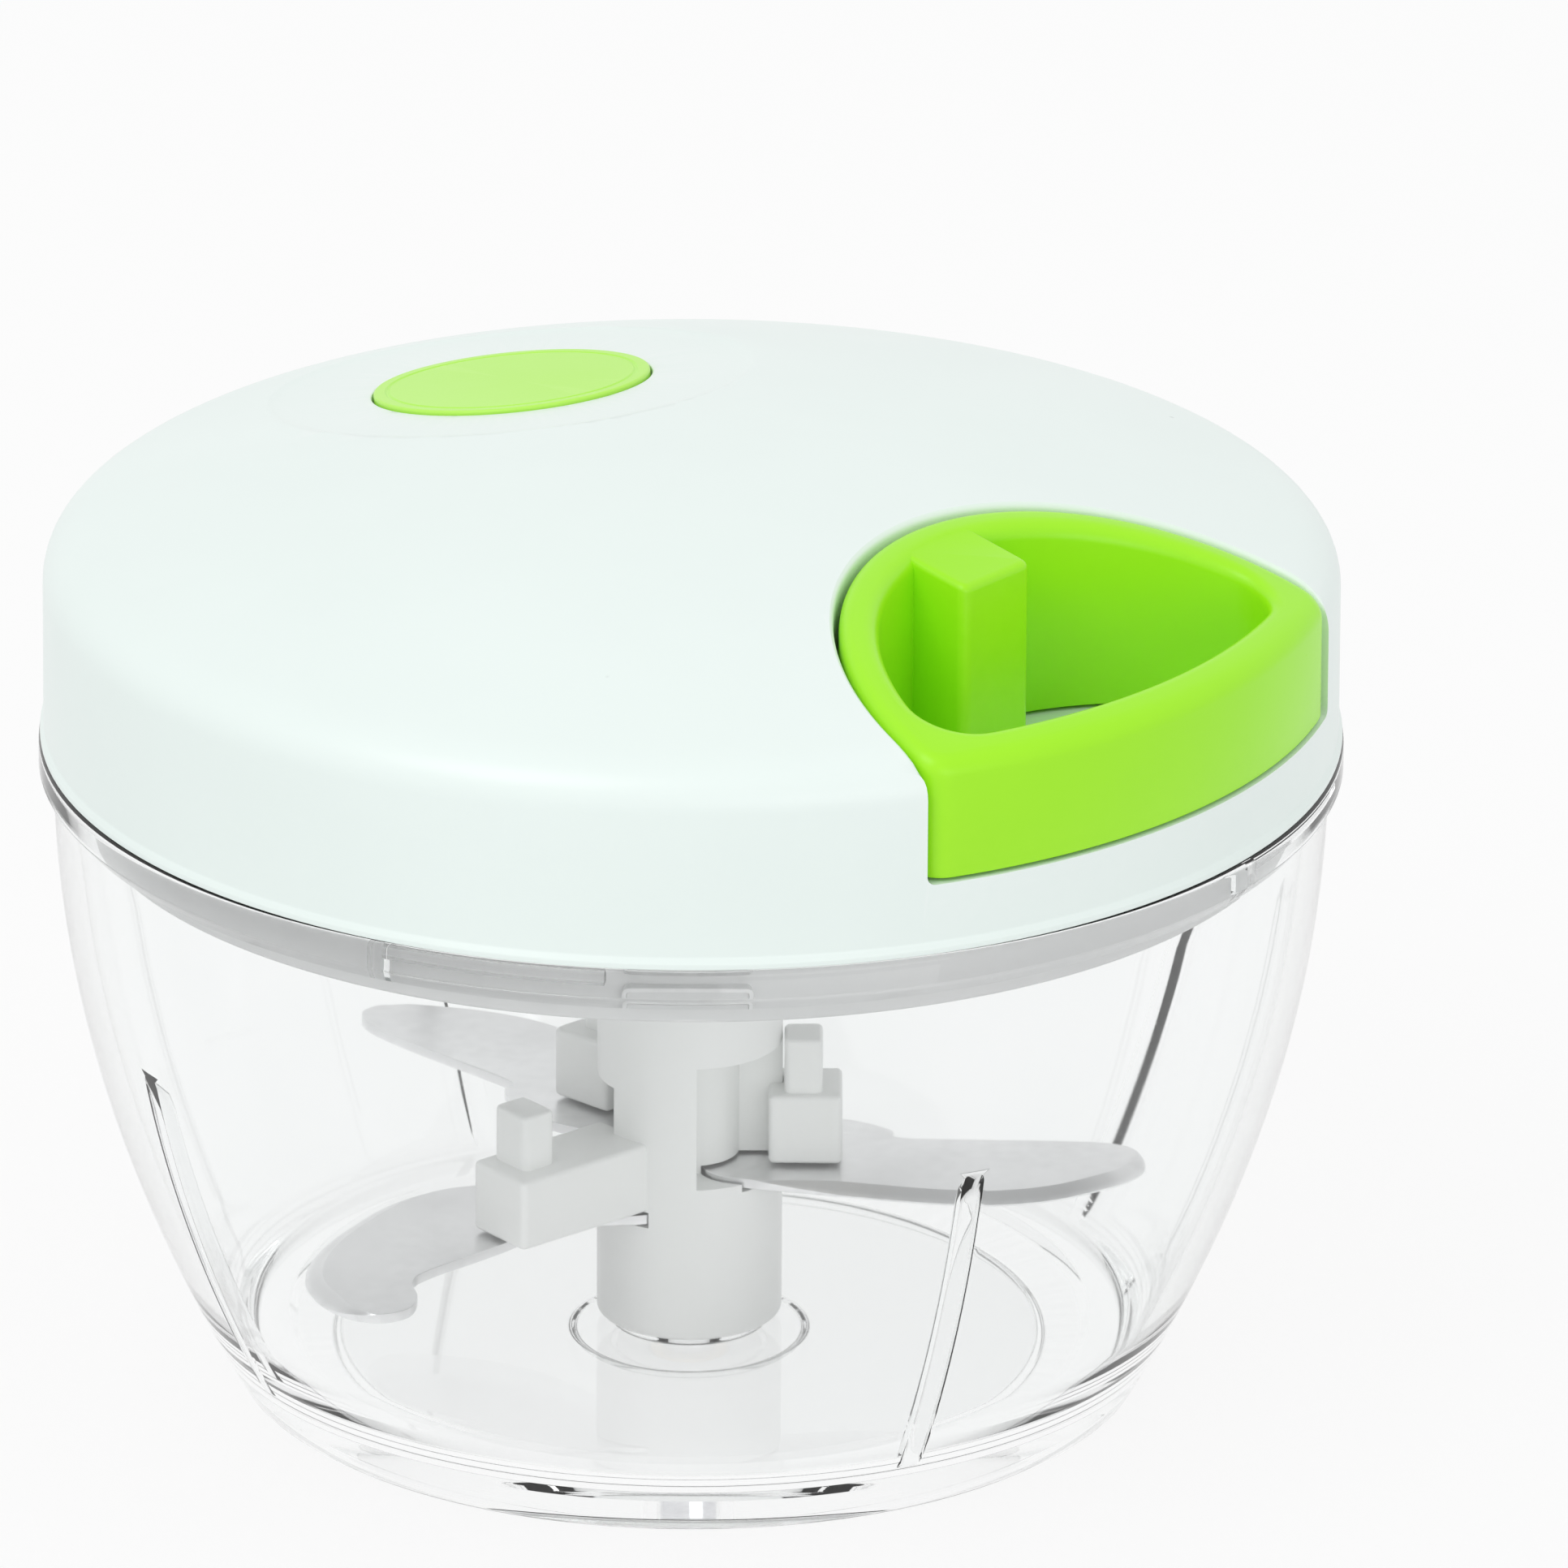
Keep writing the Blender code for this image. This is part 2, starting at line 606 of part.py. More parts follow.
def build_bowl(parent, material):
    foot_inner = BASE_RADIUS - FOOT_WIDTH
    edge = BOWL_EDGE
    profile = [
        (0, CENTRE_FOOT_HEIGHT),
        (CENTRE_FOOT_RADIUS, CENTRE_FOOT_HEIGHT),
        (CENTRE_FOOT_RADIUS + edge, FOOT_RECESS),
        (foot_inner - edge, FOOT_RECESS),
        (foot_inner, 0),
        (BASE_RADIUS - edge, 0),
    ]
    wall_low = FLOOR_HEIGHT + 2 * BOWL_WALL
    for k in range(WALL_STEPS + 1):
        height = edge + (NECK_HEIGHT - LIP_HEIGHT / 2 - edge) * k / WALL_STEPS
        profile.append((bowl_radius(height), height))
    profile += [
        (RIM_RADIUS, RIM_HEIGHT - LIP_HEIGHT),
        (RIM_RADIUS, RIM_HEIGHT - edge),
        (RIM_RADIUS - edge, RIM_HEIGHT),
        (INNER_NECK_RADIUS + edge, RIM_HEIGHT),
        (INNER_NECK_RADIUS, RIM_HEIGHT - edge),
    ]
    for k in range(WALL_STEPS + 1):
        height = SKIRT_BOTTOM + (wall_low - SKIRT_BOTTOM) * k / WALL_STEPS
        profile.append((min(bowl_inner_radius(height), INNER_NECK_RADIUS), height))
    pin_hole = PIVOT_RADIUS + SEAT_GAP
    profile += [
        (bowl_inner_radius(wall_low) - BOWL_WALL, FLOOR_HEIGHT + FLOOR_RING_RISE + edge),
        (FLOOR_RING_RADIUS + 2 * edge, FLOOR_HEIGHT + FLOOR_RING_RISE),
        (FLOOR_RING_RADIUS, FLOOR_HEIGHT),
        (PIVOT_BOSS_RADIUS + edge, FLOOR_HEIGHT),
        (PIVOT_BOSS_RADIUS, PIVOT_SEAT),
        (pin_hole, PIVOT_SEAT),
        (pin_hole, PIVOT_BOTTOM),
        (0, PIVOT_BOTTOM),
    ]
    bowl = mesh_object("bowl", turned(profile, LARGE_STEPS), material, parent)
    join(bowl, helper("bowl_ribs", bowl_ribs()))
    join(bowl, helper("bowl_ledges", bowl_ledges()))
    join(bowl, helper("bowl_stops", bowl_stops()))


def bowl_ribs():
    """The upright ribs inside the bowl, each sunk a little into wall and floor."""
    shape = bmesh.new()
    sink = BOWL_WALL / 2
    for n in range(RIB_COUNT):
        turn = Matrix.Rotation(RIB_AZIMUTH + 2 * math.pi * n / RIB_COUNT, 4, "Z")
        inner, outer = [], []
        for k in range(RIB_STEPS + 1):
            height = FLOOR_HEIGHT + 2 * sink + (RIB_TOP - FLOOR_HEIGHT - 2 * sink) * k / RIB_STEPS
            depth = RIB_DEPTH if k < RIB_STEPS else 0.0
            inner.append((bowl_inner_radius(height) - depth, height))
            outer.append((bowl_inner_radius(height) + sink, height))
        foot = inner[0][0] - 2 * sink
        section = [(foot, FLOOR_HEIGHT - sink)] + inner + outer[::-1]
        section.append((outer[0][0] - 2 * sink, FLOOR_HEIGHT - sink))
        sides = []
        for side in (-RIB_WIDTH / 2, RIB_WIDTH / 2):
            sides.append([shape.verts.new(turn @ Vector((r, side, z))) for r, z in section])
        bridge(shape, sides[0], sides[1])
        shape.faces.new(sides[0])
        shape.faces.new(sides[1])
    return shape


def lug_half_angle():
    return LUG_LENGTH / 2 / (SKIRT_RADIUS + LUG_REACH)


def bowl_ledges():
    """Bayonet ledges with a stop at the end of each. The lid's lugs turn clockwise under them."""
    shape = bmesh.new()
    inner = INNER_NECK_RADIUS - LEDGE_REACH
    outer = INNER_NECK_RADIUS + BOWL_WALL / 3
    for n in range(LUG_COUNT):
        centre = LUG_AZIMUTH + 2 * math.pi * n / LUG_COUNT
        start = centre - lug_half_angle() - LEDGE_START_GAP
        stop = centre - lug_half_angle() - LOCK_ANGLE - STOP_GAP
        sector(inner, outer, stop, start, LEDGE_BOTTOM, LEDGE_TOP, BAYONET_STEPS, shape)
    return shape


def bowl_stops():
    """A short upright at the end of each ledge, that stops the lug."""
    shape = bmesh.new()
    inner = INNER_NECK_RADIUS - LEDGE_REACH - SEAT_GAP / 3
    outer = INNER_NECK_RADIUS + BOWL_WALL / 2
    sink = SEAT_GAP / 3
    for n in range(LUG_COUNT):
        centre = LUG_AZIMUTH + 2 * math.pi * n / LUG_COUNT
        stop = centre - lug_half_angle() - LOCK_ANGLE - STOP_GAP
        sector(inner, outer, stop - STOP_ANGLE, stop, LUG_BOTTOM, LEDGE_TOP + sink, 1, shape)
    return shape


def build_pivot_pin(parent, material):
    profile = [
        (0, PIVOT_BOTTOM + SEAT_GAP),
        (PIVOT_RADIUS, PIVOT_BOTTOM + SEAT_GAP),
        (PIVOT_RADIUS, PIVOT_TOP - PIVOT_ROUND),
        (PIVOT_RADIUS - PIVOT_ROUND, PIVOT_TOP),
        (0, PIVOT_TOP),
    ]
    mesh_object("pivot_pin", turned(profile, MEDIUM_STEPS), material, parent)


def build_seal_ring(parent, material):
    """A silicone ring under the lid base's flange, with a lip towards the bowl."""
    inner = SKIRT_RADIUS + SEAT_GAP
    outer = INNER_NECK_RADIUS - SEAT_GAP
    top = FLANGE_BOTTOM - SEAT_GAP
    low = top - SEAL_HEIGHT
    middle = (low + top) / 2
    body = (inner + outer) / 2
    profile = [(body, low), (outer, middle), (body, top), (inner, top), (inner, low)]
    mesh_object("seal_ring", turned(profile, LARGE_STEPS), material, parent)


def build_lid_base(parent, material):
    """The tray under the cover: a skirt with bayonet lugs, a floor, and a collar for the bearing."""
    inner = SKIRT_RADIUS - SKIRT_WALL
    flange_top = FLANGE_BOTTOM + FLANGE_THICK
    flange_radius = COVER_INNER_RADIUS - SEAT_GAP
    edge = SKIRT_EDGE
    profile = [
        (BUSH_HOLE, COLLAR_BOTTOM),
        (COLLAR_RADIUS, COLLAR_BOTTOM),
        (COLLAR_RADIUS, BASE_FLOOR_BOTTOM),
        (inner, BASE_FLOOR_BOTTOM),
        (inner, SKIRT_BOTTOM),
        (SKIRT_RADIUS - edge, SKIRT_BOTTOM),
        (SKIRT_RADIUS, SKIRT_BOTTOM + edge),
        (SKIRT_RADIUS, FLANGE_BOTTOM),
        (flange_radius, FLANGE_BOTTOM),
        (flange_radius, flange_top),
        (inner, flange_top),
        (inner, BASE_FLOOR_TOP),
        (BUSH_HOLE, BASE_FLOOR_TOP),
    ]
    base = mesh_object("lid_base", turned(profile, LARGE_STEPS), material, parent)
    join(base, helper("base_lugs", base_lugs()))
    holes = screw_cylinders(COVER_SCREW_HOLE, BASE_FLOOR_BOTTOM, BASE_FLOOR_TOP)
    cut(base, helper("base_screw_holes", holes))


def base_lugs():
    shape = bmesh.new()
    inner = SKIRT_RADIUS - SKIRT_WALL / 2
    outer = SKIRT_RADIUS + LUG_REACH
    half = lug_half_angle()
    for n in range(LUG_COUNT):
        centre = LUG_AZIMUTH + 2 * math.pi * n / LUG_COUNT
        sector(inner, outer, centre - half, centre + half, LUG_BOTTOM, LUG_TOP, BAYONET_STEPS, shape)
    return shape


def cover_screw_places():
    """Centres of the cover's screws. The first is under the pocket."""
    step = 2 * math.pi / COVER_SCREW_COUNT
    return arc(COVER_SCREW_CIRCLE, HANDLE_AZIMUTH, HANDLE_AZIMUTH + 2 * math.pi - step, COVER_SCREW_COUNT - 1)


def screw_cylinders(radius, low, high):
    """Upright cylinders at the cover's screws, a little longer than the span given."""
    shape = bmesh.new()
    for place in cover_screw_places():
        prism(circle(radius, SCREW_STEPS, place), low - PAST, high + PAST, shape)
    return shape


def build_screw(name, place, radius, head_low, head_high, tip, parent, material):
    """A round-head screw that stands on its head, with its tip up."""
    head = radius * SCREW_HEAD_RATIO
    round_off = (head_high - head_low) / 2
    profile = [
        (0, head_low),
        (head - round_off, head_low),
        (head, head_low + round_off),
        (head, head_high),
        (radius, head_high),
        (radius, tip - radius),
        (radius / 2, tip),
        (0, tip),
    ]
    shape = turned(profile, SCREW_STEPS)
    bmesh.ops.translate(shape, vec=(*place, 0), verts=shape.verts)
    mesh_object(name, shape, material, parent)


def pocket_cylinder(radius, low, high):
    return prism(circle(radius, LARGE_STEPS, (POCKET_CENTRE, 0)), low, high)


def badge_place():
    """Where the badge's dish lies on the dome, as a matrix whose Z axis leaves the dome."""
    x = BADGE_DISTANCE * math.cos(BADGE_AZIMUTH)
    y = BADGE_DISTANCE * math.sin(BADGE_AZIMUTH)
    upright = Vector((x / DOME_RADIUS, y / DOME_RADIUS, 1)).normalized()
    turn = Vector((0, 0, 1)).rotation_difference(upright).to_matrix().to_4x4()
    return Matrix.Translation((x, y, dome_height(BADGE_DISTANCE))) @ turn


def dish_floor():
    """Depth of the dish's flat floor under the dome's highest point there."""
    return DISH_RADIUS**2 / (2 * DOME_RADIUS) + DISH_STEP


def build_top_cover(parent, material):
    outer = dome_side(COVER_RADIUS, 0) + [(COVER_RADIUS, COVER_BOTTOM)]
    inner = dome_side(COVER_INNER_RADIUS, COVER_WALL) + [(COVER_INNER_RADIUS, COVER_BOTTOM)]
    cover = mesh_object("top_cover", turned(outer + inner[::-1], LARGE_STEPS), material, parent)
    limit_side = dome_side(COVER_RADIUS - PAD_OVERLAP, PAD_OVERLAP)
    limit = limit_side + [(COVER_RADIUS - PAD_OVERLAP, RIM_HEIGHT), (0, RIM_HEIGHT)]
    inside = helper("cover_inside", turned(limit, LARGE_STEPS))

    walls = pocket_cylinder(POCKET_RADIUS + COVER_WALL, POCKET_UNDERSIDE, DOME_TOP)
    pocket = helper("pocket_wall", walls, HANDLE_AZIMUTH)
    combine(pocket, inside, "INTERSECT")
    join(cover, pocket)
    posts = helper("screw_bosses", screw_cylinders(COVER_BOSS_RADIUS, COVER_BOSS_BOTTOM + PAST, DOME_TOP))
    combine(posts, inside, "INTERSECT")
    join(cover, posts)
    centre_top = dome_height(0, PAD_OVERLAP)
    join(cover, helper("centre_boss", cylinder(CENTRE_BOSS_RADIUS, CENTRE_BOSS_BOTTOM, centre_top)))
    pad_top = -dish_floor() + DISH_STEP - PAD_OVERLAP
    pad_low = -dish_floor() - DISH_PAD
    pad = cylinder(DISH_RADIUS + COVER_WALL, pad_low, pad_top, MEDIUM_STEPS)
    join(cover, helper("dish_pad", pad, place=badge_place()))

    dish = cylinder(DISH_RADIUS, -dish_floor(), DISH_RADIUS, MEDIUM_STEPS)
    cut(cover, helper("dish", dish, place=badge_place()))
    seat_depth = dish_floor() + BADGE_THICK + SEAT_GAP - BADGE_PROUD
    seat = cylinder(BADGE_RADIUS + SEAT_GAP, -seat_depth, BEYOND, MEDIUM_STEPS)
    cut(cover, helper("badge_seat", seat, place=badge_place()))
    opening = pocket_cylinder(POCKET_RADIUS, POCKET_FLOOR, DOME_TOP + BEYOND)
    cut(cover, helper("pocket_opening", opening, HANDLE_AZIMUTH))
    screw_top = COVER_SCREW_HEAD + COVER_SCREW_LENGTH + SEAT_GAP
    holes = screw_cylinders(COVER_SCREW_HOLE, COVER_BOSS_BOTTOM, screw_top - PAST)
    cut(cover, helper("cover_screw_holes", holes))
    axle_hole = cylinder(AXLE_SEAT, CENTRE_BOSS_BOTTOM - PAST, AXLE_TOP + SEAT_GAP)
    cut(cover, helper("axle_hole", axle_hole))
    eyelet_hole = cylinder(EYELET_RADIUS + SEAT_GAP, EYELET_START, POCKET_CENTRE)
    cut(cover, helper("eyelet_hole", lie_along_x(eyelet_hole, CORD_LEVEL), HANDLE_AZIMUTH))


def build_badge(parent, material):
    """A bare disc, a little proud of the dish's floor."""
    low = -dish_floor() - BADGE_THICK + BADGE_PROUD
    high = -dish_floor() + BADGE_PROUD
    profile = [
        (0, low),
        (BADGE_RADIUS, low),
        (BADGE_RADIUS, high - BADGE_EDGE),
        (BADGE_RADIUS - BADGE_EDGE, high),
        (0, high),
    ]
    shape = turned(profile, MEDIUM_STEPS)
    bmesh.ops.transform(shape, matrix=badge_place(), verts=shape.verts)
    mesh_object("badge", shape, material, parent)


def lens(side_radius, outer_radius, corner):
    """The handle's outline: a circle round the pocket's centre, cut off by one round the lid's axis.

    The corner radius rounds both meeting points.
    """
    side, outer = side_radius - corner, outer_radius - corner
    across = (outer**2 - side**2 + POCKET_CENTRE**2) / (2 * POCKET_CENTRE)
    along = math.sqrt(outer**2 - across**2)
    out_angle = math.atan2(along, across)
    side_angle = math.atan2(along, across - POCKET_CENTRE)
    full = 2 * math.pi
    corner_steps = HANDLE_CORNER_STEPS
    points = arc(outer_radius, -out_angle, out_angle, HANDLE_OUTER_STEPS)
    points += arc(corner, out_angle, side_angle, corner_steps, (across, along))[1:]
    points += arc(side_radius, side_angle, full - side_angle, HANDLE_SIDE_STEPS, (POCKET_CENTRE, 0))[1:]
    points += arc(corner, full - side_angle, full - out_angle, corner_steps, (across, -along))[1:-1]
    return points


def under_dome(outline, drop):
    """The outline lifted to the dome, less a drop."""
    return [(x, y, dome_height(math.hypot(x, y), drop)) for x, y in outline]


def build_pull_handle(parent, material):
    """A ring under the fingers. Its top follows the dome, and a block inside holds the cord."""
    hole_side = HANDLE_SIDE_RADIUS - HANDLE_WALL_INNER
    hole_outer = HANDLE_OUTER_RADIUS - HANDLE_WALL_OUTER
    loops = []
    rounding = ((0.0, 1.0), (0.3, 0.3), (1.0, 0.0))
    for share_in, share_down in rounding:
        inset, drop = share_in * HANDLE_ROUND, share_down * HANDLE_ROUND
        outline = lens(HANDLE_SIDE_RADIUS - inset, HANDLE_OUTER_RADIUS - inset, HANDLE_CORNER - inset)
        loops.append(under_dome(outline, drop))
    for share_in, share_down in rounding[::-1]:
        inset, drop = share_in * HANDLE_ROUND, share_down * HANDLE_ROUND
        outline = lens(hole_side + inset, hole_outer + inset, HOLE_CORNER + inset)
        loops.append(under_dome(outline, drop))
    loops.append([(x, y, HANDLE_BOTTOM) for x, y in lens(hole_side, hole_outer, HOLE_CORNER)])
    around = lens(HANDLE_SIDE_RADIUS, HANDLE_OUTER_RADIUS, HANDLE_CORNER)
    loops.append([(x, y, HANDLE_BOTTOM) for x, y in around])
    shape = bmesh.new()
    rings = [[shape.verts.new(point) for point in loop] for loop in loops]
    for lower, upper in zip(rings, rings[1:] + rings[:1]):
        bridge(shape, lower, upper)
    handle = mesh_object("pull_handle", shape, material, parent)

    join(handle, helper("cord_block", cord_block(), HANDLE_AZIMUTH))
    cell = cylinder(CELL_RADIUS, HANDLE_BOTTOM - PAST, CORD_LEVEL + CELL_RADIUS)
    bmesh.ops.translate(cell, vec=(CELL_CENTRE, 0, 0), verts=cell.verts)
    cut(handle, helper("knot_cell", cell, HANDLE_AZIMUTH))
    bore = cylinder(CORD_RADIUS + SEAT_GAP, HANDLE_INNER_END - PAST, CELL_CENTRE, SCREW_STEPS)
    cut(handle, helper("cord_bore", lie_along_x(bore, CORD_LEVEL), HANDLE_AZIMUTH))


def cord_block():
    """The block inside the ring. Its flat top slopes as the dome does."""
    half = BLOCK_WIDTH / 2
    corner = BLOCK_CORNER
    outline = [
        (BLOCK_INNER, -half),
        (BLOCK_REACH - corner, -half),
        (BLOCK_REACH, -half + corner),
        (BLOCK_REACH, half - corner),
        (BLOCK_REACH - corner, half),
        (BLOCK_INNER, half),
    ]
    start = dome_height(BLOCK_INNER, BLOCK_DROP)
    slope = (dome_height(BLOCK_REACH, BLOCK_DROP) - start) / BLOCK_LENGTH
    shape = bmesh.new()
    low = [shape.verts.new((x, y, HANDLE_BOTTOM)) for x, y in outline]
    high = [shape.verts.new((x, y, start + slope * (x - BLOCK_INNER))) for x, y in outline]
    bridge(shape, low, high)
    shape.faces.new(low)
    shape.faces.new(high)
    return shape


def build_knot_and_plug(parent, knot_material, plug_material):
    """The cord's knot in its cell, and the plug that closes the cell from below."""
    profile = []
    for k in range(KNOT_STEPS + 1):
        angle = math.pi * k / KNOT_STEPS
        radius = KNOT_RADIUS * math.sin(angle) if 0 < k < KNOT_STEPS else 0
        profile.append((radius, CELL_CENTRE - KNOT_RADIUS * math.cos(angle)))
    knot = lie_along_x(turned(profile, SMALL_STEPS), CORD_LEVEL)
    mesh_object("cord_knot", knot, knot_material, parent)
    plug = cylinder(CELL_RADIUS - SEAT_GAP, HANDLE_BOTTOM, HANDLE_BOTTOM + PLUG_THICK)
    bmesh.ops.translate(plug, vec=(CELL_CENTRE, 0, 0), verts=plug.verts)
    mesh_object("handle_plug", plug, plug_material, parent)


def drum_angle():
    """Where the cord leaves the drum, measured from the handle's side."""
    return math.acos(WINDING_RADIUS / EYELET_BEND)


def report_least_gap(winding):
    """Prints the least gap between a point of the winding and the turns beside it."""
    points = [Vector(point) for point in winding]
    least = BEYOND
    for k, point in enumerate(points):
        for other in points[k + CORD_TURN_STEPS // 2:]:
            least = min(least, (other - point).length)
    print("least gap between turns of the cord, mm:", round((least - CORD_DIAMETER) / MM, 2))


def build_cord(reel, lid, handle, material):
    """The cord in three stretches: the winding, the feed to the eyelet, and the lead to the knot."""
    leave = drum_angle()
    count = round(CORD_TURNS * CORD_TURN_STEPS)
    winding = []
    for k in range(count + 1):
        turns_left = CORD_TURNS * (count - k) / count
        angle = HANDLE_AZIMUTH + leave + 2 * math.pi * turns_left
        height = CORD_LEVEL - CORD_PITCH * turns_left
        winding.append((WINDING_RADIUS * math.cos(angle), WINDING_RADIUS * math.sin(angle), height))
    cord_object("cord_winding", winding, material, reel)
    report_least_gap(winding)

    start = Vector((WINDING_RADIUS * math.cos(leave), WINDING_RADIUS * math.sin(leave), CORD_LEVEL))
    bend = Vector((EYELET_BEND, 0, CORD_LEVEL))
    way = (bend - start).normalized()
    last = HANDLE_INNER_END - SEAT_GAP
    bend_in, bend_out = bend - way * CORD_BEND, bend + Vector((CORD_BEND / 2, 0, 0))
    feed = [start + way * SEAT_GAP, start.lerp(bend_in, 0.5)]
    for k in range(CORD_BEND_STEPS + 1):
        part = k / CORD_BEND_STEPS
        feed.append(bend_in.lerp(bend, part).lerp(bend.lerp(bend_out, part), part))
    feed.append(Vector((last, 0, CORD_LEVEL)))
    cord_object("cord_feed", feed, material, lid, HANDLE_AZIMUTH)

    lead_end = CELL_CENTRE - KNOT_RADIUS - SEAT_GAP
    middle = (HANDLE_INNER_END + lead_end) / 2
    lead = [(x, 0, CORD_LEVEL) for x in (HANDLE_INNER_END, middle, lead_end)]
    cord_object("cord_lead", lead, material, handle)


def build_eyelet(parent, material):
    """A bush in the pocket's wall, flared towards the reel so that the cord turns in smoothly."""
    mouth = EYELET_START
    flange = mouth + EYELET_FLANGE_THICK
    end = POCKET_INNER_END - SEAT_GAP / 3
    middle = (mouth + end) / 2
    profile = [
        (EYELET_MOUTH, mouth),
        (EYELET_RADIUS + EYELET_FLANGE, mouth),
        (EYELET_RADIUS + EYELET_FLANGE, flange),
        (EYELET_RADIUS, flange),
        (EYELET_RADIUS, end),
        (EYELET_THROAT, end),
        (EYELET_THROAT + (EYELET_MOUTH - EYELET_THROAT) * EYELET_FLARE, middle),
    ]
    eyelet = lie_along_x(turned(profile, SMALL_STEPS), CORD_LEVEL)
    mesh_object("cord_eyelet", eyelet, material, parent, HANDLE_AZIMUTH)


def build_cord_reel(parent, material):
    """A drum with two flanges. Its chamber is open at the top for the spring."""
    profile = [
        (AXLE_BORE, REEL_BOTTOM),
        (REEL_RADIUS, REEL_BOTTOM),
        (REEL_RADIUS, DRUM_BOTTOM),
        (DRUM_RADIUS, DRUM_BOTTOM),
        (DRUM_RADIUS, DRUM_TOP),
        (REEL_RADIUS, DRUM_TOP),
        (REEL_RADIUS, REEL_TOP),
        (CAP_RADIUS + SEAT_GAP, REEL_TOP),
        (CAP_RADIUS + SEAT_GAP, CAP_BOTTOM - SEAT_GAP),
        (CHAMBER_RADIUS, CAP_BOTTOM - SEAT_GAP),
        (CHAMBER_RADIUS, WEB_TOP),
        (AXLE_BORE, WEB_TOP),
    ]
    reel = mesh_object("cord_reel", turned(profile, MEDIUM_STEPS), material, parent)
    slot_low = (CHAMBER_RADIUS - PAST, -SLOT_WIDTH / 2, SPRING_BOTTOM - SEAT_GAP)
    slot_high = (CHAMBER_RADIUS + HOOK_LENGTH + SEAT_GAP, SLOT_WIDTH / 2, CAP_BOTTOM)
    cut(reel, helper("reel_spring_slot", box(slot_low, slot_high)))
    holes = coupler_screw_cylinders(COUPLER_SCREW_HOLE, REEL_BOTTOM - PAST, COUPLER_SCREW_TOP + SEAT_GAP)
    cut(reel, helper("reel_screw_holes", holes))


def build_spring_cap(parent, material):
    inner = ARBOR_RADIUS + 2 * SEAT_GAP
    mesh_object("spring_cap", ring(inner, CAP_RADIUS, CAP_BOTTOM, REEL_TOP, MEDIUM_STEPS), material, parent)


def coupler_screw_cylinders(radius, low, high):
    shape = bmesh.new()
    for place in coupler_screw_places():
        prism(circle(radius, SCREW_STEPS, place), low, high, shape)
    return shape


def coupler_screw_places():
    step = 2 * math.pi / COUPLER_SCREW_COUNT
    return arc(COUPLER_SCREW_CIRCLE, step / 2, 2 * math.pi - step / 2, COUPLER_SCREW_COUNT - 1)


def build_recoil_spring(parent, material):
    """A flat spiral from the arbor's slot to the slot in the drum."""
    inner = ARBOR_RADIUS + 2 * SEAT_GAP
    outer = CHAMBER_RADIUS - 2 * SEAT_GAP
    count = round(SPRING_TURNS * SPRING_TURN_STEPS)
    path = [Vector((ARBOR_RADIUS - HOOK_LENGTH, 0, 0))]
    for k in range(count + 1):
        radius = inner + (outer - inner) * k / count
        angle = 2 * math.pi * k / SPRING_TURN_STEPS
        path.append(Vector((radius * math.cos(angle), radius * math.sin(angle), 0)))
    path.append(Vector((CHAMBER_RADIUS + HOOK_LENGTH, 0, 0)))
    shape = bmesh.new()
    sections = []
    for k, point in enumerate(path):
        way = (path[min(k + 1, len(path) - 1)] - path[max(k - 1, 0)]).normalized()
        side = Vector((-way.y, way.x, 0)) * SPRING_THICK / 2
        section = []
        for across, height in ((-1, SPRING_BOTTOM), (1, SPRING_BOTTOM), (1, SPRING_TOP), (-1, SPRING_TOP)):
            place = point + side * across
            section.append(shape.verts.new((place.x, place.y, height)))
        sections.append(section)
    for first, second in zip(sections, sections[1:]):
        bridge(shape, first, second)
    shape.faces.new(sections[0])
    shape.faces.new(sections[-1])
    mesh_object("recoil_spring", shape, material, parent)


def build_spring_arbor(parent, material):
    """A sleeve round the axle, held still by the cover's centre boss."""
    sleeve = ring(AXLE_SEAT, ARBOR_RADIUS, ARBOR_BOTTOM, ARBOR_TOP, MEDIUM_STEPS)
    arbor = mesh_object("spring_arbor", sleeve, material, parent)
    slot_low = (ARBOR_RADIUS - HOOK_LENGTH - SEAT_GAP, -SLOT_WIDTH / 2, SPRING_BOTTOM - SEAT_GAP)
    slot_high = (ARBOR_RADIUS + PAST, SLOT_WIDTH / 2, SPRING_TOP + SEAT_GAP)
    cut(arbor, helper("arbor_slot", box(slot_low, slot_high)))


def build_axle_pin(parent, material):
    edge = AXLE_EDGE
    profile = [
        (0, AXLE_BOTTOM),
        (AXLE_RADIUS - edge, AXLE_BOTTOM),
        (AXLE_RADIUS, AXLE_BOTTOM + edge),
        (AXLE_RADIUS, AXLE_TOP),
        (0, AXLE_TOP),
    ]
    mesh_object("axle_pin", turned(profile, MEDIUM_STEPS), material, parent)


def build_thrust_washer(parent, material):
    washer = ring(AXLE_SEAT, AXLE_SEAT + WASHER_WIDTH, WASHER_BOTTOM, WASHER_TOP)
    mesh_object("thrust_washer", washer, material, parent)


def build_base_bush(parent, material):
    bore = SHAFT_RADIUS + RUN_GAP
    profile = [
        (BUSH_RADIUS, BUSH_BOTTOM),
        (BUSH_RADIUS, BUSH_SEAT),
        (BUSH_RADIUS + BUSH_FLANGE_WIDTH, BUSH_SEAT),
        (BUSH_RADIUS + BUSH_FLANGE_WIDTH, BUSH_TOP),
        (bore, BUSH_TOP),
        (bore, BUSH_BOTTOM),
    ]
    mesh_object("base_bush", turned(profile, MEDIUM_STEPS), material, parent)


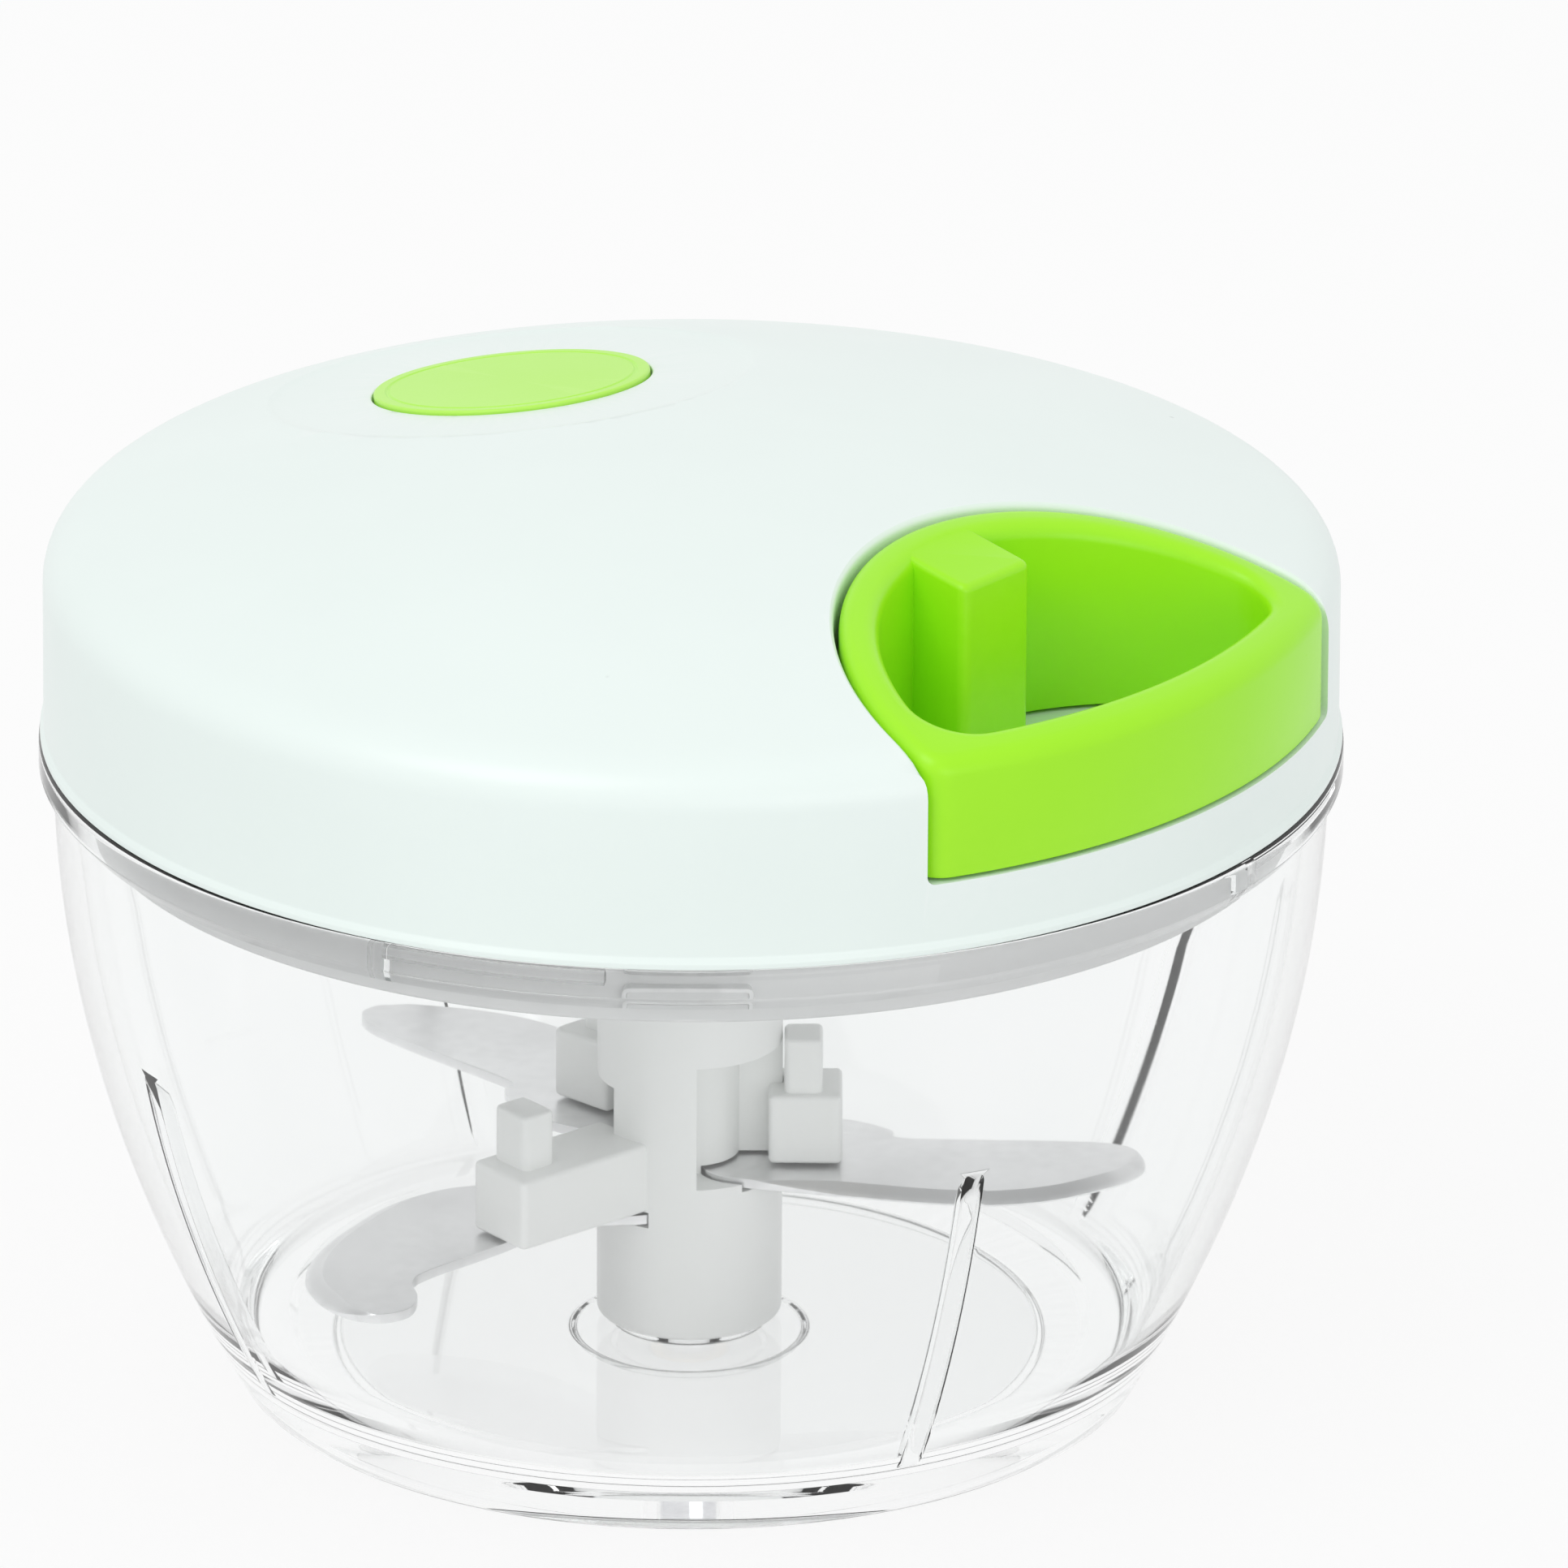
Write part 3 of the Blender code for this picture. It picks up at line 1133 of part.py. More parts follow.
def build_drive_coupler(parent, material):
    """The shaft under the reel, with two dogs that turn the rotor's socket."""
    bore_bottom = AXLE_BOTTOM - SEAT_GAP
    profile = [
        (0, SHAFT_BOTTOM),
        (SHAFT_RADIUS, SHAFT_BOTTOM),
        (SHAFT_RADIUS, BUSH_TOP + SEAT_GAP),
        (SHAFT_RADIUS + COUPLER_COLLAR_WIDTH, BUSH_TOP + SEAT_GAP),
        (SHAFT_RADIUS + COUPLER_COLLAR_WIDTH, COUPLER_FLANGE_BOTTOM),
        (COUPLER_FLANGE_RADIUS, COUPLER_FLANGE_BOTTOM),
        (COUPLER_FLANGE_RADIUS, COUPLER_TOP),
        (AXLE_BORE, COUPLER_TOP),
        (AXLE_BORE, bore_bottom),
        (0, bore_bottom),
    ]
    coupler = mesh_object("drive_coupler", turned(profile, MEDIUM_STEPS), material, parent)
    join(coupler, helper("dog_core", cylinder(DOG_CORE_RADIUS, DOG_BOTTOM, SHAFT_BOTTOM + PAST)))
    dogs_low = (-DOG_TIP_RADIUS, -DOG_WIDTH / 2, DOG_BOTTOM)
    dogs_high = (DOG_TIP_RADIUS, DOG_WIDTH / 2, SHAFT_BOTTOM + PAST)
    join(coupler, helper("dogs", box(dogs_low, dogs_high)))
    holes = coupler_screw_cylinders(COUPLER_SCREW_HOLE, COUPLER_FLANGE_BOTTOM - PAST, COUPLER_TOP + PAST)
    cut(coupler, helper("coupler_screw_holes", holes))


def build_drive_socket(parent, material):
    """A cup in the hub's top. The coupler's dogs push against its two ribs."""
    profile = [
        (0, SOCKET_BOTTOM),
        (SOCKET_RADIUS, SOCKET_BOTTOM),
        (SOCKET_RADIUS, SOCKET_TOP),
        (SOCKET_INNER_RADIUS, SOCKET_TOP),
        (SOCKET_INNER_RADIUS, SOCKET_BOTTOM + SOCKET_FLOOR),
        (0, SOCKET_BOTTOM + SOCKET_FLOOR),
    ]
    socket = mesh_object("drive_socket", turned(profile, MEDIUM_STEPS), material, parent)
    half = SOCKET_RIB_WIDTH / 2
    end = SOCKET_INNER_RADIUS + SOCKET_WALL / 2
    start = SOCKET_INNER_RADIUS - SOCKET_RIB_REACH
    low, high = SOCKET_BOTTOM + SOCKET_FLOOR / 2, SOCKET_TOP - SOCKET_FLOOR
    ribs = box((-half, start, low), (half, end, high))
    prism([(-half, -end), (half, -end), (half, -start), (-half, -start)], low, high, ribs)
    join(socket, helper("socket_ribs", ribs))


def blade_outline(hooked):
    """The blade's plan as metres, with the ground edge moved in by the bevel for its upper side."""
    spine = HOOKED_SPINE if hooked else STRAIGHT_SPINE
    edge = HOOKED_EDGE if hooked else STRAIGHT_EDGE
    root = HOOKED_ROOT if hooked else STRAIGHT_ROOT
    lower = through([(x * MM, y * MM) for x, y in spine + edge + root])
    upper = list(lower)
    first, last = OUTLINE_STEPS * (len(spine) - 1), OUTLINE_STEPS * (len(spine) + len(edge))
    for k in range(first + 1, last):
        before, after = Vector(lower[k - 1]), Vector(lower[(k + 1) % len(lower)])
        way = (after - before).normalized()
        ease = min(1.0, (k - first) / BEVEL_START_STEPS, (last - k) / BEVEL_START_STEPS)
        inward = Vector((way.y, -way.x)) * BLADE_BEVEL * ease
        upper[k] = tuple(Vector(lower[k]) + inward)
    return lower, upper


def build_blade(name, hooked, height, azimuth, parent, material):
    """A flat steel blade. Its ground edge leads when the cord is pulled."""
    lower, upper = blade_outline(hooked)
    shape = bmesh.new()
    levels = ((lower, height), (lower, height + BLADE_THICK / 3), (upper, height + BLADE_THICK))
    rings = [[shape.verts.new((x, y, z)) for x, y in outline] for outline, z in levels]
    bridge(shape, rings[0], rings[1])
    bridge(shape, rings[1], rings[2])
    shape.faces.new(rings[0])
    shape.faces.new(rings[2])
    mesh_object(name, shape, material, parent, azimuth)


def grown(outline, amount):
    """An outline moved outward by an amount."""
    found = []
    for k, point in enumerate(outline):
        way = (Vector(outline[(k + 1) % len(outline)]) - Vector(outline[k - 1])).normalized()
        found.append(tuple(Vector(point) + Vector((-way.y, way.x)) * amount))
    return found


def blade_arm(height, reach):
    """The block that holds a blade from above. It starts in the hub's wall, outside the notch."""
    low = height + BLADE_THICK + SEAT_GAP
    return box((ARM_START, ARM_SIDE_LOW, low), (reach, ARM_SIDE_HIGH, low + ARM_HEIGHT))


def blade_post(height, reach):
    """A short upright near the end of an arm."""
    low = height + BLADE_THICK + SEAT_GAP
    end = reach - POST_SET_IN
    return box((end - POST_LENGTH, POST_SIDE_LOW, low + PAST), (end, POST_SIDE_HIGH, low + POST_HEIGHT))


def hub_notch(height):
    """The open quarter of the hub above a blade's root, down to the hub's core."""
    low = height + BLADE_THICK / 2
    edge = math.asin(NOTCH_EDGE / HUB_CORE_RADIUS)
    outline = arc(HUB_CORE_RADIUS, -math.pi / 2 + edge, -edge, NOTCH_STEPS)
    beyond = 2 * HUB_RADIUS
    outline += [(beyond, -NOTCH_EDGE), (beyond, -beyond), (NOTCH_EDGE, -beyond)]
    return prism(outline, low, height + NOTCH_HEIGHT)


def build_blade_hub(parent, material):
    """The white column that carries the blades. Each blade lies in a slot under an arm."""
    bush_hole = HUB_BUSH_RADIUS + SEAT_GAP
    bore_top = HUB_BUSH_TOP + SEAT_GAP
    edge = HUB_EDGE
    profile = [
        (bush_hole, HUB_BOTTOM),
        (HUB_RADIUS - edge, HUB_BOTTOM),
        (HUB_RADIUS, HUB_BOTTOM + edge),
        (HUB_RADIUS, HUB_TOP),
        (SOCKET_HOLE, HUB_TOP),
        (SOCKET_HOLE, SOCKET_BOTTOM - SEAT_GAP),
        (0, SOCKET_BOTTOM - SEAT_GAP),
        (0, bore_top),
        (bush_hole, bore_top),
    ]
    hub = mesh_object("blade_hub", turned(profile, MEDIUM_STEPS), material, parent)
    for name, hooked, height, azimuth in blades():
        reach = LONG_ARM_REACH if hooked else ARM_REACH
        cut(hub, helper(name + "_notch", hub_notch(height), azimuth))
        join(hub, helper(name + "_arm", blade_arm(height, reach), azimuth))
        join(hub, helper(name + "_post", blade_post(height, reach), azimuth))
    for name, hooked, height, azimuth in blades():
        slot = grown(blade_outline(hooked)[0], SEAT_GAP)
        span = (height - SEAT_GAP, height + BLADE_THICK + SEAT_GAP)
        cut(hub, helper(name + "_slot", prism(slot, *span), azimuth))


def blades():
    """Each blade's name, whether its end is hooked, its height and its azimuth."""
    return (
        ("lower_blade", True, LOWER_BLADE_HEIGHT, LOWER_BLADE_AZIMUTH),
        ("middle_blade", False, MIDDLE_BLADE_HEIGHT, MIDDLE_BLADE_AZIMUTH),
        ("upper_blade", False, UPPER_BLADE_HEIGHT, UPPER_BLADE_AZIMUTH),
    )


def build_hub_bush(parent, material):
    bush = ring(HUB_BUSH_BORE, HUB_BUSH_RADIUS, HUB_BOTTOM, HUB_BUSH_TOP, MEDIUM_STEPS)
    mesh_object("hub_bush", bush, material, parent)


def build_all():
    clear_scene()
    clear = plain_material("clear plastic", (0.86, 0.88, 0.88), 0.05, alpha=0.35)
    white = plain_material("white plastic", (0.90, 0.93, 0.92), 0.25)
    grey = plain_material("grey plastic", (0.62, 0.63, 0.63), 0.35)
    green = plain_material("green plastic", (0.34, 0.78, 0.03), 0.25)
    pale_green = plain_material("pale green plastic", (0.50, 0.83, 0.18), 0.3)
    steel = plain_material("blade steel", (0.62, 0.62, 0.62), 0.25, 1.0)
    spring_steel = plain_material("spring steel", (0.35, 0.35, 0.38), 0.35, 1.0)
    brass = plain_material("brass", (0.75, 0.56, 0.25), 0.3, 1.0)
    silicone = plain_material("silicone", (0.80, 0.81, 0.80), 0.55)
    cord = plain_material("cord", (0.85, 0.85, 0.83), 0.8)

    bowl_frame = frame("bowl_frame")
    seal_frame = frame("seal_frame")
    lid_frame = frame("lid_frame")
    reel_frame = frame("reel_frame")
    handle_frame = frame("handle_frame", HANDLE_AZIMUTH)
    rotor_frame = frame("rotor_frame")

    build_bowl(bowl_frame, clear)
    build_pivot_pin(bowl_frame, steel)
    build_seal_ring(seal_frame, silicone)

    build_lid_base(lid_frame, grey)
    build_top_cover(lid_frame, white)
    build_badge(lid_frame, pale_green)
    screw_tip = COVER_SCREW_HEAD + COVER_SCREW_LENGTH
    for n, place in enumerate(cover_screw_places()):
        head_low = COVER_SCREW_HEAD - SCREW_HEAD_THICK
        name = f"cover_screw_{n + 1}"
        build_screw(name, place, COVER_SCREW_RADIUS, head_low, COVER_SCREW_HEAD, screw_tip, lid_frame, steel)
    build_base_bush(lid_frame, brass)
    build_axle_pin(lid_frame, steel)
    build_thrust_washer(lid_frame, brass)
    build_spring_arbor(lid_frame, grey)
    build_eyelet(lid_frame, steel)

    build_cord_reel(reel_frame, white)
    build_spring_cap(reel_frame, grey)
    build_recoil_spring(reel_frame, spring_steel)
    build_drive_coupler(reel_frame, grey)
    for n, place in enumerate(coupler_screw_places()):
        name = f"coupler_screw_{n + 1}"
        heights = (COUPLER_SCREW_HEAD - SCREW_HEAD_THICK, COUPLER_SCREW_HEAD, COUPLER_SCREW_TOP)
        build_screw(name, place, COUPLER_SCREW_RADIUS, *heights, reel_frame, steel)

    build_pull_handle(handle_frame, green)
    build_knot_and_plug(handle_frame, cord, green)
    build_cord(reel_frame, lid_frame, handle_frame, cord)

    build_blade_hub(rotor_frame, white)
    build_hub_bush(rotor_frame, brass)
    build_drive_socket(rotor_frame, grey)
    for name, hooked, height, azimuth in blades():
        build_blade(name, hooked, height, azimuth, rotor_frame, steel)


build_all()
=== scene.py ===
import math

import bmesh
import bpy
from mathutils import Matrix, Vector


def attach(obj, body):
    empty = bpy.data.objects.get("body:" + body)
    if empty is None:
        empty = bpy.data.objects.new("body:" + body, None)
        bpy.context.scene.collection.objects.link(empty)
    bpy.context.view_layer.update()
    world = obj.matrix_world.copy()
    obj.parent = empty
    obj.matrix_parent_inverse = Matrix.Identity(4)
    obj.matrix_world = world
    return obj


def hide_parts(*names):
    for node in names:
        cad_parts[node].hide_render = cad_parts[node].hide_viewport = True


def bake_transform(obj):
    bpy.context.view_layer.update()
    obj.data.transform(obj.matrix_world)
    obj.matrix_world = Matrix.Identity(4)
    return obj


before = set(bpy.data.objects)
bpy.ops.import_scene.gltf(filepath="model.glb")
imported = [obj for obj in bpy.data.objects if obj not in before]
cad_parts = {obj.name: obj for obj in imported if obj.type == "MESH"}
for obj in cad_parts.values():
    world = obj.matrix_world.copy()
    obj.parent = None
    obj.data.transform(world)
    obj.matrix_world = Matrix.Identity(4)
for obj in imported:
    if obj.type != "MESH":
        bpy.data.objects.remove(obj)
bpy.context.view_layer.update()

# Lengths below are in millimetres, and angles in radians. A finished piece is scaled to metres.
MM = 0.001
TURN = 2 * math.pi
FINE_STEPS = 192
ROUND_STEPS = 96
SMALL_STEPS = 48
SCREW_STEPS = 32
FILLET_STEPS = 5

# Bowl
RIM_RADIUS = 62.5
RIM_HEIGHT = 65.0
NECK_RADIUS = 61.1
NECK_HEIGHT = 62.0
NECK_INNER = 58.9
BASE_RADIUS = 43.5
BOWL_WALL = 2.2
BOWL_FLOOR = 4.5
RIB_AZIMUTH = math.radians(28)
RIB_TOP = 40.0
RIB_WIDTH = 2.3
RIB_DEPTH = 1.3

# Bayonet
LUG_AZIMUTH = math.radians(-90)
LUG_LENGTH = 12.0
LUG_HALF_ANGLE = 6.0 / 58.4
LOCK_ANGLE = math.radians(22)
LUG_BOTTOM = 60.0
LUG_HEIGHT = 2.1
LEDGE_BOTTOM = 62.4
LEDGE_TOP = 63.8

# Lid
SKIRT_RADIUS = 57.2
SKIRT_INNER = 55.4
COVER_RADIUS = 62.0
COVER_INNER = 60.0
COVER_BOTTOM = 65.04
BEAD_RADIUS = 62.35
DOME_TOP = 95.0
DOME_RADIUS = 172.0
SHOULDER = 4.5
SHOULDER_DROP = 3.5
POCKET_CENTRE = 56.5
POCKET_RADIUS = 29.5
POCKET_FLOOR = 71.9
POCKET_UNDERSIDE = 69.9
SCREW_CIRCLE = 47.0
SCREW_HOLE = 1.6

# Badge and its dish
BADGE_AZIMUTH = math.radians(123.7)
BADGE_DISTANCE = 31.9
BADGE_RADIUS = 13.4
DISH_RADIUS = 23.0
DISH_FLOOR = -1.788

# Pull handle and cord
HANDLE_AZIMUTH = math.radians(-40.5)
HANDLE_SIDE = 29.0
HANDLE_OUTER = 61.8
HANDLE_CORNER = 3.1
HANDLE_ROUND = 1.5
HOLE_SIDE = 25.2
HOLE_OUTER = 57.9
HOLE_CORNER = 5.5
HANDLE_BOTTOM = 72.2
BLOCK_START = 30.0
BLOCK_END = 38.2
BLOCK_WIDTH = 9.6
BLOCK_DROP = 0.3
CELL_CENTRE = 34.3
CELL_RADIUS = 2.9
CORD_RADIUS = 0.9
CORD_LEVEL = 79.0
CORD_TURNS = 4.0
CORD_PITCH = 2.25
WINDING_RADIUS = 16.2
EYELET_START = 23.7
EYELET_BEND = 24.5
EYELET_END = 26.9
HANDLE_INNER_END = 27.5

# Reel
REEL_RADIUS = 21.5
DRUM_RADIUS = 15.0
CHAMBER_RADIUS = 13.2
COUPLER_SCREWS = 11.1
COUPLER_HOLE = 1.1
SPRING_LOW = 70.7
SPRING_WIDTH = 9.2
SPRING_THICK = 0.4

# Rotor
HUB_RADIUS = 8.95
HUB_CORE = 4.8
HUB_BOTTOM = 5.4
HUB_TOP = 56.6
BLADE_THICK = 1.0
BLADE_BEVEL = 1.6
SEAT_GAP = 0.3

# Blade outlines: the spine from root to tip, the ground edge back from the tip, and the root
STRAIGHT_BLADE = (
    (
        (2.2, 5.4), (8.0, 7.6), (14.7, 8.1), (19.4, 5.4), (20.4, 3.4),
        (28.3, 3.0), (36.0, 2.7), (41.1, 2.0), (43.4, 0.2),
    ),
    (
        (44.1, -2.6), (42.6, -5.2), (40.0, -7.2), (35.4, -9.8),
        (30.2, -11.2), (24.8, -11.1), (19.3, -10.2), (12.0, -8.6),
    ),
    ((6.5, -7.4), (2.4, -6.0), (0.8, -2.6), (0.8, 2.0)),
)
HOOKED_BLADE = (
    (
        (2.2, 4.6), (8.0, 3.4), (15.0, -0.6), (24.0, 0.2), (32.6, 0.6),
        (35.6, 1.8), (37.4, 4.8), (40.0, 6.6), (43.0, 5.6),
    ),
    (
        (44.5, 1.6), (43.4, -4.0), (40.4, -8.2), (35.6, -11.6),
        (30.0, -14.0), (24.4, -15.6), (18.6, -15.4), (12.6, -12.4),
    ),
    ((7.0, -9.0), (2.8, -6.6), (0.8, -2.6), (0.8, 1.6)),
)

# Each blade's name, outline, height, azimuth, and the reach of its arm
BLADES = (
    ("lower_blade", HOOKED_BLADE, 17.0, math.radians(-140), 23.5),
    ("middle_blade", STRAIGHT_BLADE, 20.5, math.radians(0), 14.7),
    ("upper_blade", STRAIGHT_BLADE, 22.9, math.radians(138), 14.7),
)


def placed(name, data):
    """A new object in the scene."""
    made = bpy.data.objects.new(name, data)
    bpy.context.scene.collection.objects.link(made)
    return made


def facing(way):
    """The turn that points a camera or a lamp along a direction."""
    return way.to_track_quat("-Z", "Y").to_matrix().to_4x4()


# Camera

def set_camera():
    """A long lens, a little above the rim, where the photograph was taken from."""
    elevation = math.radians(21.5)
    roll = math.radians(0.3)
    distance = 2.4
    picture_width = 0.15028
    target = Vector((0.008906, 0, 0.05931))
    way = Vector((0, math.cos(elevation), -math.sin(elevation)))
    data = bpy.data.cameras.new("camera")
    data.sensor_width = 36
    data.lens = data.sensor_width * distance / picture_width
    data.clip_end = 20
    camera = placed("camera", data)
    place = Matrix.Translation(target - way * distance)
    camera.matrix_world = place @ facing(way) @ Matrix.Rotation(roll, 4, "Z")
    bpy.context.scene.camera = camera


# Nodes

def feed(socket, value):
    """Links an output to an input, or sets the input to a value. A colour is given without its alpha."""
    if isinstance(value, bpy.types.NodeSocket):
        socket.id_data.links.new(value, socket)
    elif socket.type == "RGBA":
        socket.default_value = (*value, 1.0)
    else:
        socket.default_value = value


def add(tree, kind, inputs=(), **settings):
    """Adds a node and gives its outputs. Its inputs, by name or number, take values or outputs."""
    node = tree.nodes.new(kind)
    for field, value in settings.items():
        setattr(node, field, value)
    for key, value in dict(inputs).items():
        feed(node.inputs[key], value)
    return node.outputs


def maths(tree, operation, first, second=0.0, third=0.0):
    return add(tree, "ShaderNodeMath", {0: first, 1: second, 2: third}, operation=operation)[0]


def times(tree, first, second):
    return maths(tree, "MULTIPLY", first, second)


def summed(tree, total, *shares):
    """A number with others added to it, each of them given with its weight."""
    for value, weight in shares:
        total = maths(tree, "ADD", total, times(tree, value, weight))
    return total


def ranged(tree, value, low, high, to_low=0.0, to_high=1.0, kind="LINEAR"):
    """The value spread from one range to another, and kept inside it."""
    inputs = {"Value": value, "From Min": low, "From Max": high, "To Min": to_low, "To Max": to_high}
    return add(tree, "ShaderNodeMapRange", inputs, interpolation_type=kind)[0]


def eased(tree, value, low, high):
    """From 0 to 1 over the range, with no visible start or end."""
    return ranged(tree, value, low, high, kind="SMOOTHSTEP")


def noise(tree, place, scale, detail=2.0, roughness=0.5):
    inputs = {"Vector": place, "Scale": scale, "Detail": detail, "Roughness": roughness}
    return add(tree, "ShaderNodeTexNoise", inputs)[0]


def stretched(tree, place, turn, scale):
    """A place turned about Z, and the same place squeezed too, on which a pattern runs in lines."""
    around = add(tree, "ShaderNodeVectorRotate", {"Vector": place, "Angle": turn})[0]
    return around, add(tree, "ShaderNodeMapping", {"Vector": around, "Scale": scale})[0]


def group(name, kind, inputs, outputs, sends="Float"):
    """A node group and its two end nodes. An input is given by its usual value, or else by its kind."""
    tree = bpy.data.node_groups.new(name, kind)
    for label, value in inputs.items():
        takes = {float: "Float", int: "Int"}.get(type(value), value)
        made = tree.interface.new_socket(label, in_out="INPUT", socket_type=f"NodeSocket{takes}")
        if takes != value:
            made.default_value = value
    for label in outputs:
        tree.interface.new_socket(label, in_out="OUTPUT", socket_type=f"NodeSocket{sends}")
    return tree, tree.nodes.new("NodeGroupInput").outputs, tree.nodes.new("NodeGroupOutput").inputs


def moulded_surface():
    """Fine orange peel of a moulding, slow unevenness of its colour, and rare specks in it."""
    inputs = {"Place": "Vector", "Peel": 900.0, "Cloud": 40.0}
    tree, given, sent = group("Moulded Surface", "ShaderNodeTree", inputs, ("Height", "Cloud", "Specks"))
    place = given["Place"]
    peel = noise(tree, place, given["Peel"], 1.0)
    swell = noise(tree, place, times(tree, given["Peel"], 0.12), 1.0)
    feed(sent["Height"], summed(tree, swell, (peel, 0.35)))
    cloud = noise(tree, place, given["Cloud"], 3.0, 0.55)
    feed(sent["Cloud"], eased(tree, cloud, 0.2, 0.8))
    cells = add(tree, "ShaderNodeTexVoronoi", {"Vector": place, "Scale": 260.0})
    number = add(tree, "ShaderNodeSeparateColor", {0: cells["Color"]})[0]
    spot = ranged(tree, cells["Distance"], 0.03, 0.09, 1.0, 0.0)
    feed(sent["Specks"], times(tree, maths(tree, "GREATER_THAN", number, 0.985), spot))
    return tree


def handling_marks():
    """Faint hairlines and wiped patches from use."""
    inputs = {"Place": "Vector", "Amount": 0.5}
    tree, given, sent = group("Handling Marks", "ShaderNodeTree", inputs, ("Lines", "Wiped"))
    found = 0.0
    for turn, scale, stretch in ((0.4, 260.0, 30.0), (-0.9, 340.0, 45.0), (1.5, 300.0, 36.0)):
        around, squeezed = stretched(tree, given["Place"], turn, (1.0, 1 / stretch, 1.0))
        off_middle = maths(tree, "SUBTRACT", noise(tree, squeezed, scale * 6, 0.0), 0.5)
        thin = ranged(tree, maths(tree, "ABSOLUTE", off_middle), 0.0, 0.004, 1.0, 0.0)
        patch = eased(tree, noise(tree, around, scale * 0.25, 1.0), 0.54, 0.7)
        found = maths(tree, "MAXIMUM", times(tree, thin, patch), found)
    feed(sent["Lines"], times(tree, found, given["Amount"]))
    wiped = eased(tree, noise(tree, given["Place"], 45.0, 2.0), 0.3, 0.8)
    feed(sent["Wiped"], times(tree, wiped, given["Amount"]))
    return tree


def brushed_lines():
    """Fine parallel lines that a grinding belt leaves in steel, with a few deeper ones."""
    inputs = {"Place": "Vector", "Fineness": 2500.0, "Direction": 0.0}
    tree, given, sent = group("Brushed Lines", "ShaderNodeTree", inputs, ("Lines", "Stain"))
    _, squeezed = stretched(tree, given["Place"], given["Direction"], (0.03, 1.0, 0.3))
    fine = noise(tree, squeezed, given["Fineness"], 3.0, 0.7)
    coarse = noise(tree, squeezed, times(tree, given["Fineness"], 0.4), 0.0)
    feed(sent["Lines"], summed(tree, fine, (eased(tree, coarse, 0.6, 0.75), -0.15)))
    feed(sent["Stain"], eased(tree, noise(tree, given["Place"], 90.0, 4.0, 0.6), 0.3, 0.8))
    return tree


def edge_wear_and_highlight():
    """Convex edges found by pointiness, from 0 to 1, where the finishes lighten them, partly as rubbed wear
    and partly as a painted highlight.
    """
    inputs = {"Place": "Vector", "Reach": 0.06}
    tree, given, sent = group("Edge Wear And Highlight", "ShaderNodeTree", inputs, ("Edge",))
    sharp = add(tree, "ShaderNodeNewGeometry")["Pointiness"]
    edge = ranged(tree, sharp, 0.51, maths(tree, "ADD", 0.51, given["Reach"]))
    broken = ranged(tree, noise(tree, given["Place"], 700.0, 3.0), 0.3, 0.7, 0.35, 1.0)
    feed(sent["Edge"], times(tree, edge, broken))
    return tree


GROUPS = {made.name: made for made in (moulded_surface(), handling_marks(), brushed_lines(), edge_wear_and_highlight())}


def grouped(tree, name, **values):
    return add(tree, "ShaderNodeGroup", values, node_tree=GROUPS[name])


def mixed(tree, share, first, second):
    """A colour between two colours."""
    return add(tree, "ShaderNodeMix", {0: share, 6: first, 7: second}, data_type="RGBA")[2]


def new_finish(name, **fixed):
    """A Principled material with its fixed values, and its tree, shader and place on the piece."""
    made = bpy.data.materials.new(name)
    made.use_nodes = True
    tree = made.node_tree
    shader = tree.nodes["Principled BSDF"]
    for key, value in fixed.items():
        feed(shader.inputs[key.replace("_", " ")], value)
    return made, tree, shader, add(tree, "ShaderNodeTexCoord")["Object"]


def surfaced(tree, shader, base, rough, height, depth):
    """Links a shader's colour, its roughness, and its bump, which is so deep in metres."""
    bump = add(tree, "ShaderNodeBump", {"Height": height, "Distance": depth, "Strength": 1.0})[0]
    feed(shader.inputs["Base Color"], base)
    feed(shader.inputs["Roughness"], rough)
    feed(shader.inputs["Normal"], bump)


def output(tree, share, first, second):
    """Sends a mix of two shaders to the material's output."""
    both = add(tree, "ShaderNodeMixShader", {0: share, 1: first, 2: second})[0]
    feed(tree.nodes["Material Output"].inputs["Surface"], both)


def moulded(name, colour, shade, edge_wear_highlight_colour, roughness, marks, edge_wear_highlight_share=0.5, **fixed):
    """Moulded plastic: two shades of the colour in slow clouds, orange peel, hairlines, and lighter edges,
    partly rubbed wear and partly a painted highlight.
    """
    made, tree, shader, place = new_finish(name, **fixed)
    surface = grouped(tree, "Moulded Surface", Place=place)
    use = grouped(tree, "Handling Marks", Place=place, Amount=marks)
    edge = grouped(tree, "Edge Wear And Highlight", Place=place)["Edge"]
    base = mixed(tree, surface["Cloud"], colour, shade)
    # Edges lighten towards their edge colour: partly rubbed wear, partly a painted highlight.
    base = mixed(tree, times(tree, edge, edge_wear_highlight_share), base, edge_wear_highlight_colour)
    base = mixed(tree, times(tree, surface["Specks"], 0.35), base, [0.45 * c for c in colour])
    rough = summed(tree, roughness, (use["Wiped"], 0.1), (use["Lines"], 0.25))
    surfaced(tree, shader, base, rough, summed(tree, surface["Height"], (use["Lines"], -0.4)), 0.00002)
    return made


